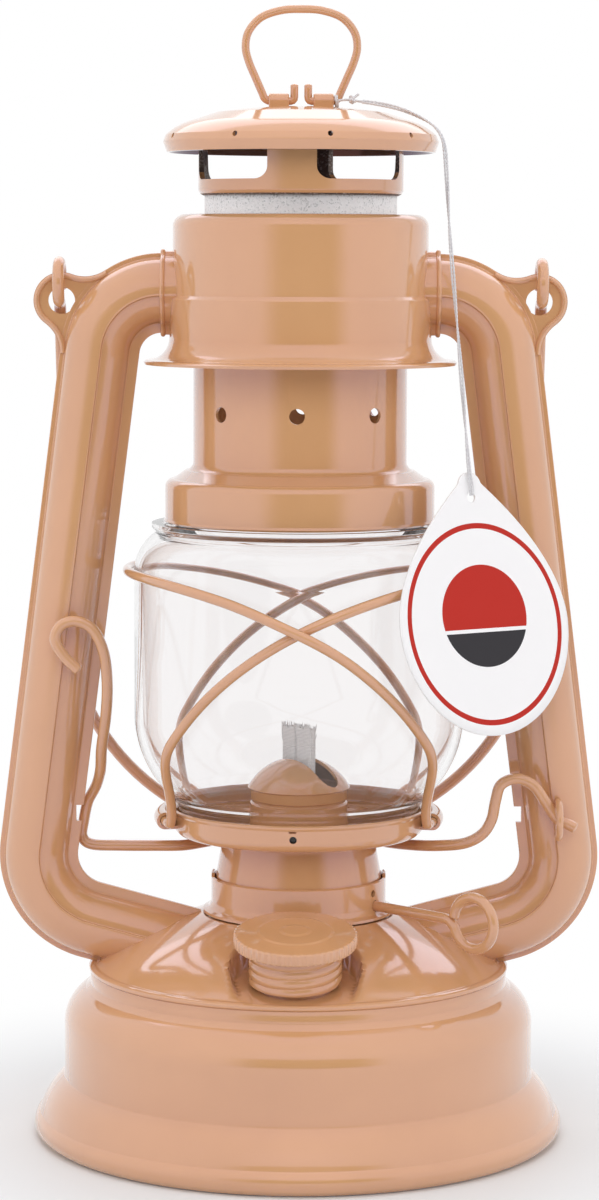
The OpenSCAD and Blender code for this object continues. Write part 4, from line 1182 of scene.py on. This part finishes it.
def makeBarrel():
    b = barrel
    line = [(b["holderR"] + 0.3, b["lipZ"]), (b["holderR"], b["lipZ"] + 0.6, 0.3)]
    line += arcPoints((b["holderR"], b["holderZ"]), (b["holderR"] - 2.2, b["holderZ"] + 2), -0.6, 10)
    line += arcPoints((b["r"] + 2, b["holderZ"] + 4), (b["r"], b["holderZ"] + 6), 0.5, 10)
    r, z = b["r"], b["topZ"]
    line += [(r, z - 1.2), (r, z - 0.4, 0.3), (r - 0.4, z, 0.3), (b["neck"], z)]
    vents = []
    for i in range(b["vents"]):
        vents.append(radialRod(360 * i / b["vents"] + b["ventTurn"], 20, 36, b["ventZ"], b["ventD"] / 2))
    addPainted("chimney_barrel", cutData(turnedSheet(line, b["t"], 192), joinData(*vents)), "chimney")


makeBarrel()

draft = dict(r=23.8, t=0.8, low=195.0, high=237.4)
pipe = turnedSheet([(draft["r"], draft["low"]), (draft["r"], draft["high"])], draft["t"], 160)
addMesh("draftTube", *pipe, zinc, "chimney", ["draft_tube"], "galvanised", 60)

hood = dict(r=34.1, z=246.0, brim=2.5, topZ=257.3, vents=9, ventTurn=-78.0, ventR=0.65, t=0.8)


def makeHood():
    h = hood
    mid = h["z"] + h["brim"]
    line = [(h["r"] - 0.9, h["z"]), (h["r"], mid, 0.6)]
    line += arcPoints((h["r"] - 0.6, mid + 1.7), (h["r"] - 7.1, h["topZ"] - 3.5), -0.5, 10)
    line += arcPoints((h["r"] - 12.8, h["topZ"] - 1.6), (0, h["topZ"]), -0.4, 14)
    vents = []
    for i in range(h["vents"]):
        vents.append(radialRod(360 * i / h["vents"] + h["ventTurn"], 30, 38, mid + 1.2, h["ventR"], 16))
    piece = addPainted("hood", cutData(turnedSheet(line, h["t"], 180, 0.6), joinData(*vents)), "chimney")
    # the hood's underside and inner wall take the much darker enamel copy: painted shade
    liningAndShadeInside(piece, paintedDeepShade)


makeHood()

gallery = dict(r=25.4, z=235.4, topZ=252.4, band=3.8, post=12.0, turn=-5.0, t=0.8, fillet=3.0)


def makeGallery():
    g = gallery
    r, z = g["r"], g["z"]
    line = [(draft["r"] + 0.4, z), (r - 0.5, z + 0.4, 0.6), (r, z + 1.2, 0.6), (r, g["topZ"])]
    half = r * math.sin(math.radians(45) - math.asin(g["post"] / 2 / r))
    f = g["fillet"]
    outline = turnPoints((f - half, f), f, 180, 270, 8) + turnPoints((half - f, f), f, 270, 360, 8)
    window = prismData(outline + [(half, 22), (-half, 22)], 15, 30)
    windows = []
    for i in range(4):
        turn = turned(135 + 90 * i + g["turn"], "Z") @ turned(90, "X")
        windows.append(placeData(window, Matrix.Translation((0, 0, z + g["band"])) @ turn))
    piece = addPainted("gallery", cutData(turnedSheet(line, g["t"], 180), joinData(*windows)), "chimney")
    liningAndShadeInside(piece, sprayed)


makeGallery()
print("chimney made")


# globe
globe = dict(
    t=2.0, footR=30.2, footZ=78.3, rimZ=82.5, r=41.3, wallZ=105.0, shoulderZ=140.0, topZ=154.4,
    rimR=36.9, mouthR=34.4,
)


def makeGlobe():
    g = globe
    line = [(g["footR"], g["footZ"], 0.5), (g["footR"], g["rimZ"] + 0.6, 2.0)]
    line += arcPoints((g["footR"] + 1.2, g["rimZ"] + 2.6), (g["r"], g["wallZ"]), -2.2, 18)
    line += arcPoints((g["r"], g["shoulderZ"]), (g["rimR"] - 1.2, g["topZ"] - 2.2), -2.0, 16)
    line += [(g["rimR"], g["topZ"] - 1.2, 0.8), (g["rimR"], g["topZ"], 0.4)]
    line = roundLine(line, 1.0)
    inner = [p for p in moveAside(line, g["t"]) if p[1] < g["topZ"] - 3.4]
    loop = line + [(g["mouthR"], g["topZ"]), (g["mouthR"], g["topZ"] - 2.6)] + inner[::-1]
    addMesh("glassGlobe", *latheData(loop, 200), glass, "globe_carrier", ["glass_globe"], "globe_glass", 60)


makeGlobe()

burner = dict(
    domeR=12.9, edgeZ=87.5, rise=7.7, skirtR=12.4, lowZ=78.3, slotW=6.2, slotL=24.4, turn=43.2, t=0.8,
)


def makeBurnerDome():
    b = burner
    ball = (b["domeR"] ** 2 + b["rise"] ** 2) / (2 * b["rise"])
    cz = b["edgeZ"] + b["rise"] - ball
    low = math.degrees(math.asin((b["edgeZ"] - cz) / ball))
    groove = b["edgeZ"] - 3.6
    s = b["skirtR"]
    line = [(s, b["lowZ"])]
    line += [(s - inset, groove + up, 0.3) for inset, up in ((0, -0.7), (0.6, -0.3), (0.6, 0.3), (0, 0.7))]
    line += [(s, b["edgeZ"] - 0.4, 0.3)] + turnPoints((0, cz), ball, low, 90, 20)
    w = b["slotW"]
    out = (b["slotL"] - w) / 2
    outline = turnPoints((out, 0), w / 2, -90, 90, 14) + turnPoints((-out, 0), w / 2, 90, 270, 14)
    slot = placeData(prismData(outline, b["edgeZ"] + 0.8, 100), turned(-b["turn"], "Z"))
    addPainted("burner_dome", cutData(turnedSheet(line, b["t"], 144), slot))


makeBurnerDome()

collar = dict(r=22.0, lowZ=57.0, topZ=65.0, tabHalf=6.4, tabZ=66.2, t=0.8, pinR=0.9, pinZ=62.6, pinTurn=11.0)
shell = dict(r=20.9, lowZ=56.6, bendZ=65.0, coneR=19.1, coneZ=75.0, mouthR=14.4, topZ=78.2, holeR=10.4, t=0.8)


# cutters for the wick shaft's hole and a pin's
def shaftCuts(r):
    cuts = []
    pin = (collar["pinR"], 0, collar["pinZ"], collar["pinTurn"])
    for radius, off, z, extra in ((r, knob["off"], knob["z"], 0), pin):
        place = Matrix.Translation((0, 0, z)) @ turned(extra - knob["turn"], "Z")
        cuts.append(placeData(rodData((10, off, 0), (30, off, 0), radius), place))
    return cuts


def makeCollar():
    c = collar
    r, top, tab = c["r"], c["topZ"], c["tabZ"]
    line = [(r + 2, c["lowZ"]), (r + 0.6, c["lowZ"] + 0.5, 1.2), (r, c["lowZ"] + 2.0, 1.2)]
    line += [(r, top - 1.3, 0.5), (r, top - 0.9, 0.4), (r, top)]
    ring = cutData(turnedSheet(line, c["t"], 160), *shaftCuts(1.4))
    inner = r - c["t"]
    edge = [(r, top - 0.6), (r, tab - 0.25), (r - 0.25, tab)]
    edge += [(inner + 0.25, tab), (inner, tab - 0.25), (inner, top - 0.6)]
    tabs = [partLathe(edge, a - c["tabHalf"], a + c["tabHalf"], 12) for a in (0, 180)]
    addPainted("burner_collar", joinData(ring, *tabs))


def makeShell():
    b = shell
    line = [(b["r"], b["lowZ"]), (b["r"], b["bendZ"], 1.5)]
    line += arcPoints((b["coneR"], b["coneZ"]), (b["mouthR"], b["topZ"]), -1.2, 12)
    line += [(b["holeR"], b["topZ"])]
    data = cutData(turnedSheet(line, b["t"], 160), *shaftCuts(1.6))
    addMesh("burnerShell", *data, paint, "frame", ["burner_body"], "paint", 50)


makeCollar()
makeShell()

plate = dict(
    holeR=19.4, z=76.0, floorR=28.9, r=31.5, rise=2.6, rimZ=82.5, t=0.8, holes=24, holeD=2.6,
    lugR=34.3, lugZ=80.2, lugCurl=1.75, lugHalf=14.0, strap=0.38, mark=-92.5, markR=0.9, cupT=0.3,
    shadeCupDeep=1.6,
)


def makePlate():
    q = plate
    r, z, rim = q["r"], q["z"], q["rimZ"]
    line = [(q["holeR"], z)] + arcPoints((q["floorR"], z), (r, z + q["rise"]), -0.75, 10)
    line += [(r, rim - 1.0, 0.5), (r + 0.4, rim - 0.4, 0.4), (r + 0.4, rim)]
    cutters = []
    mid = (q["holeR"] + q["floorR"]) / 2 + 0.6
    for i in range(q["holes"]):
        x, y = onArc((0, 0), mid, 360 * (i + 1) / q["holes"])
        cutters.append(rodData((x, y, z - 1), (x, y, z + 3), q["holeD"] / 2, 20))
    cutters.append(radialRod(q["mark"], 27, 36, z + 3.4, q["markR"], 24))
    slot = [(-2.4, -r - 1), (-0.6, -r - 1), (-0.6, -r + 2), (-2.4, -r + 2)]
    cutters.append(prismData(slot, z + 5, z + 5.6))
    dish = cutData(turnedSheet(line, q["t"], 192), joinData(*cutters))
    # a small dark rubber cup closes the front hole from behind: painted shade, standing for the shadow inside
    # the hole
    inner, outer = q["markR"] + 0.05, q["markR"] + 0.05 + q["cupT"]
    deep, end = q["shadeCupDeep"], q["shadeCupDeep"] + q["cupT"]
    shadeCup = [(inner, 0), (inner, deep), (0.05, deep), (0.05, end), (outer, end), (outer, 0)]
    place = Matrix.Translation((*onArc((0, 0), r - 0.6, q["mark"]), z + 3.4))
    place = place @ turned(q["mark"], "Z") @ turned(-90, "Y")
    addMesh("plateCup", *placeData(latheData(shadeCup, 24), place), rubber, "globe_carrier", slot="seal_rubber")
    # each lug is a strap curled round the guard wires' ends
    low = q["lugZ"] - q["lugCurl"]
    curl = [(r - 0.3, low), (q["lugR"] - 1.2, low)]
    curl += turnPoints((q["lugR"], q["lugZ"]), q["lugCurl"], -90, 190, 26)
    strap = moveAside(curl, q["strap"]) + moveAside(curl, -q["strap"])[::-1]
    lugs = [partLathe(strap, a - q["lugHalf"], a + q["lugHalf"], 18) for a in (0, 180)]
    addPainted("globe_plate", joinData(dish, *lugs), "globe_carrier")


makePlate()
print("globe, plate and burner made")

# wick: a flat tape of warp threads, split a little at one side, with a ragged head
wick = dict(
    w=10.5, t=2.4, low=25.0, top=103.6, ribs=34, rib=0.16, split=0.16, splitWide=0.012, splitDeep=0.85,
    ragged=1.1, fibres=110, fibreR=0.12, fibreTop=104.0, keepX=0.3, keepY=0.16,
)


def wickEdge(share):
    flat = wick["w"] - wick["t"]
    r = wick["t"] / 2
    around = 2 * flat + 2 * math.pi * r
    s = share % 1.0 * around
    wave = wick["rib"] * (0.5 * math.cos(2 * math.pi * wick["ribs"] * share) - 0.5)
    wave -= wick["splitDeep"] * math.exp(-((share - wick["split"]) / wick["splitWide"]) ** 2)
    if s < flat:
        return -flat / 2 + s, -r - wave
    s -= flat
    if s < math.pi * r:
        a = -math.pi / 2 + s / r
        return flat / 2 + (r + wave) * math.cos(a), (r + wave) * math.sin(a)
    s -= math.pi * r
    if s < flat:
        return flat / 2 - s, r + wave
    a = math.pi / 2 + (s - flat) / r
    return -flat / 2 + (r + wave) * math.cos(a), (r + wave) * math.sin(a)


def makeWick():
    dice = random.Random(11)
    per, tall = 8, 60  # points to a thread, and rows
    n = wick["ribs"] * per
    heads = [wick["top"] - wick["ragged"] * dice.random() for i in range(wick["ribs"])]
    points = []
    for i in range(tall + 1):
        for j in range(n):
            high = heads[(j + per // 2) // per % wick["ribs"]]
            points.append((*wickEdge(j / n), wick["low"] + (high - wick["low"]) * i / tall))
    # the head sinks a little towards the middle of the tape
    points += [(x * 0.93, y * 0.3, z - 0.7) for x, y, z in points[tall * n:]]
    parts = [(points, cappedFaces(tall + 2, n))]
    halfX, halfY = wick["w"] / 2 - wick["keepX"], wick["t"] / 2 - wick["keepY"]
    for i in range(wick["fibres"]):
        x, y = wickEdge(dice.random())
        foot = wick["top"] - dice.uniform(1.5, 6.0)
        tip = min(foot + dice.uniform(2.0, 4.5), wick["fibreTop"])
        lean = Vector((x * 0.05 + dice.uniform(-0.12, 0.12), y * 0.14 + dice.uniform(-0.1, 0.1), 0))
        line = []
        for k in range(6):
            p = Vector((x * 0.97, y * 0.92, foot + (tip - foot) * k / 5)) + lean * (k / 5) ** 2 * 3
            line.append((max(-halfX, min(halfX, p.x)), max(-halfY, min(halfY, p.y)), p.z))
        r = wick["fibreR"] * dice.uniform(0.7, 1.4)
        parts.append(sweepData(line, [r, r, r, r * 0.9, r * 0.75, r * 0.4], 5))
    data = placeData(joinData(*parts), turned(-burner["turn"], "Z"))
    addMesh("wickTape", *data, cotton, "wick", ["wick"], "wick_cotton", 60)


makeWick()

# spring between the barrel and the crown's lid
# the coils are split in two pieces: the lower ones ride on the globe carrier, the upper ones stay where they
# are
coil = dict(r=25.4, d=1.2, low=200.7, middle=217.4, high=229.3, turns=5.5, keep=0.28)


def makeCoil():
    tall = coil["high"] - coil["low"]
    steps = 48  # in a turn
    n = int(coil["turns"] * steps)
    line = []
    for i in range(n + 1):
        a = 2 * math.pi * i / steps
        line.append((coil["r"] * math.cos(a), coil["r"] * math.sin(a), coil["low"] + tall * i / n))
    k = round(n * (coil["middle"] - coil["low"]) / tall)
    nodes = ["chimney_spring"]
    data = wireData(line[:k + 1], coil["d"], 10)
    lower = addMesh("springLower", *data, steel, "globe_carrier", nodes, "spring_steel")
    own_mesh(lower)
    data = wireData(line[k:], coil["d"], 10)
    upper = addMesh("springUpper", *data, steel, None, nodes, "spring_steel")
    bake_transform(upper)


makeCoil()

# straps that hold the lift ring on the hood, and the lever's staple
boss = dict(inner=3.0, outer=8.0, r=1.9, z=258.6, lowZ=256.7, bore=1.1, bevel=0.3)


def makeBosses():
    b = boss
    edge = [(-b["r"], b["lowZ"]), (b["r"], b["lowZ"])] + turnPoints((0, b["z"]), b["r"], 0, 180, 20)
    low, high, bevel = b["inner"], b["outer"], b["bevel"]
    parts = []
    for sign in (-1, 1):
        points = []
        for x, inset in ((low, bevel), (low + bevel, 0), (high - bevel, 0), (high, bevel)):
            share = 1 - inset / b["r"]
            for y, z in edge:
                up = z - b["z"]
                points.append((sign * x, y * share, b["z"] + (up * share if up > 0 else up)))
        parts.append((points, cappedFaces(4, len(edge))))
    bore = rodData((-12, 0, b["z"]), (12, 0, b["z"]), b["bore"])
    addPainted("ring_bosses", cutData(joinData(*parts), bore), "chimney", 40)


staple = dict(d=1.9, span=4.4, tail=3.4)


def makeStaple():
    r = staple["span"]
    line = [(0, staple["tail"] * (1 - i / 4), -r) for i in range(4)]
    line += [(0, y, z) for z, y in turnPoints((0, 0), r, 180, 360, 30)]
    line += [(0, staple["tail"] * i / 4, r) for i in range(1, 5)]
    line = [Vector(p) + Vector(lever["pivot"]) for p in line]
    addWire("lever_staple", line, staple["d"], "frame")


makeBosses()
makeStaple()
print("wick, spring, straps and staple made")


# finishes of the pieces that stay as modelled; the tank's bottom gets the slightly darker enamel copy as
# painted shade
nodeFinish = dict(
    tank_bottom=paintedMildShade, fount_top=zinc, filler_neck=paint, cap_gasket=rubber, wick_tube=brass,
    spur_wheels=zinc,
)
for node, material in nodeFinish.items():
    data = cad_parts[node].data
    data.materials.clear()
    data.materials.append(material)


# floor, white room, softboxes, and a dark wall behind the camera
studio = dict(
    floor=(0.79, 0.825, 0.835), ambient=0.36, shadowShare=0.05, fadeFrom=0.075, fadeTo=0.17,
    tint=(1.0, 0.96, 0.985),
    wall=dict(x=0.15, y=-1.35, half=1.55, tall=0.62, grey=0.08, fadeFrom=0.46, fadeTo=1.2),
)
# each stands at an angle from the front, at a distance from the axis, and points at a height on it
softboxes = dict(
    left=dict(angle=-74, far=1.0, z=0.42, aim=0.16, wide=1.0, tall=1.36, power=4.2, shine=False),
    right=dict(angle=67, far=1.0, z=0.42, aim=0.16, wide=0.95, tall=1.3, power=3.8, shine=False),
    top=dict(angle=0, far=0.1, z=1.9, aim=0.15, wide=1.3, tall=1.3, power=11.0, shine=False),
    rear=dict(angle=180, far=0.95, z=1.15, aim=0.15, wide=1.8, tall=0.9, power=4.6, shine=True),
    front=dict(angle=0, far=1.2, z=0.75, aim=0.15, wide=1.0, tall=1.0, power=6.6, shine=False),
    back=dict(angle=180, far=1.5, z=0.75, aim=0.15, wide=2.6, tall=1.5, power=3.4, shine=False),
)


# one for the rays that show the white room as it is
def whiteRays(tree):
    path = addNode(tree, "LightPath").outputs
    seen = addMath(tree, "MAXIMUM", path["Is Camera Ray"], path["Is Transmission Ray"])
    return addMath(tree, "MAXIMUM", seen, path["Is Glossy Ray"])


# a flat sheet of the set, in metres
def addSheet(name, corners, material):
    mesh = bpy.data.meshes.new(name)
    mesh.from_pydata(corners, [], [(0, 1, 2, 3)])
    mesh.materials.append(material)
    sheet = addObject(name, mesh)
    return sheet


def makeFloor():
    material, tree, shader = newMaterial("paleFloor")
    setInputs(shader, {"Base Color": (*studio["floor"], 1), "Roughness": 0.6})
    glow = addNode(tree, "Emission", (1, 1, 1, 1))
    # the shadow near the foot fades into the white room
    far = addNode(tree, "VectorMath", objectPlace(tree), operation="LENGTH").outputs["Value"]
    fade = addRange(tree, far, studio["shadowShare"], 1.0, studio["fadeFrom"], studio["fadeTo"], "SMOOTHSTEP")
    share = addMath(tree, "MULTIPLY", whiteRays(tree), fade)
    mix = addNode(tree, "MixShader", share, shader.outputs["BSDF"], glow.outputs["Emission"])
    setInput(tree.nodes["Material Output"], "Surface", mix.outputs["Shader"])
    addSheet("floor", [(-6, -6, 0), (6, -6, 0), (6, 6, 0), (-6, 6, 0)], material)


def makeWorld():
    world = bpy.data.worlds.new("whiteRoom")
    bpy.context.scene.world = world
    world.use_nodes = True
    tree = world.node_tree
    level = addRange(tree, whiteRays(tree), studio["ambient"], 1.0)
    setInputs(tree.nodes["Background"], {"Color": (1, 1, 1, 1), "Strength": level})


def makeWall():
    w = studio["wall"]
    material, tree, shader = newMaterial("darkCloth")
    # the cloth thins out to both sides, so its reflection has soft edges
    split = addNode(tree, "SeparateXYZ", objectPlace(tree))
    aside = addMath(tree, "ABSOLUTE", split.outputs["X"])
    setInputs(shader, {
        "Base Color": (w["grey"], w["grey"], w["grey"], 1),
        "Roughness": 0.9,
        "Specular IOR Level": 0.0,
        "Alpha": addRange(tree, aside, 1.0, 0.0, w["fadeFrom"], w["fadeTo"], "SMOOTHSTEP"),
    })
    x, z = w["half"], w["tall"]
    wall = addSheet("darkWall", [(-x, 0, 0.001), (x, 0, 0.001), (x, 0, z), (-x, 0, z)], material)
    wall.location = (w["x"], w["y"], 0)
    wall.visible_camera = False
    wall.visible_transmission = False


def addSoftbox(name, box):
    data = bpy.data.lights.new(name, "AREA")
    data.shape = "RECTANGLE"
    data.size = box["wide"]
    data.size_y = box["tall"]
    data.energy = box["power"]
    data.color = studio["tint"]
    lamp = addObject(name, data)
    lamp.visible_camera = False
    lamp.visible_transmission = False
    lamp.visible_glossy = box["shine"]
    lamp.location = (*onArc((0, 0), box["far"], box["angle"] - 90), box["z"])
    lamp.rotation_euler = (Vector((0, 0, box["aim"])) - lamp.location).to_track_quat("-Z", "Y").to_euler()


makeFloor()
makeWorld()
makeWall()
for side, box in softboxes.items():
    addSoftbox(side + "Softbox", box)
bpy.context.scene.view_settings.view_transform = "Standard"
print("studio lit")
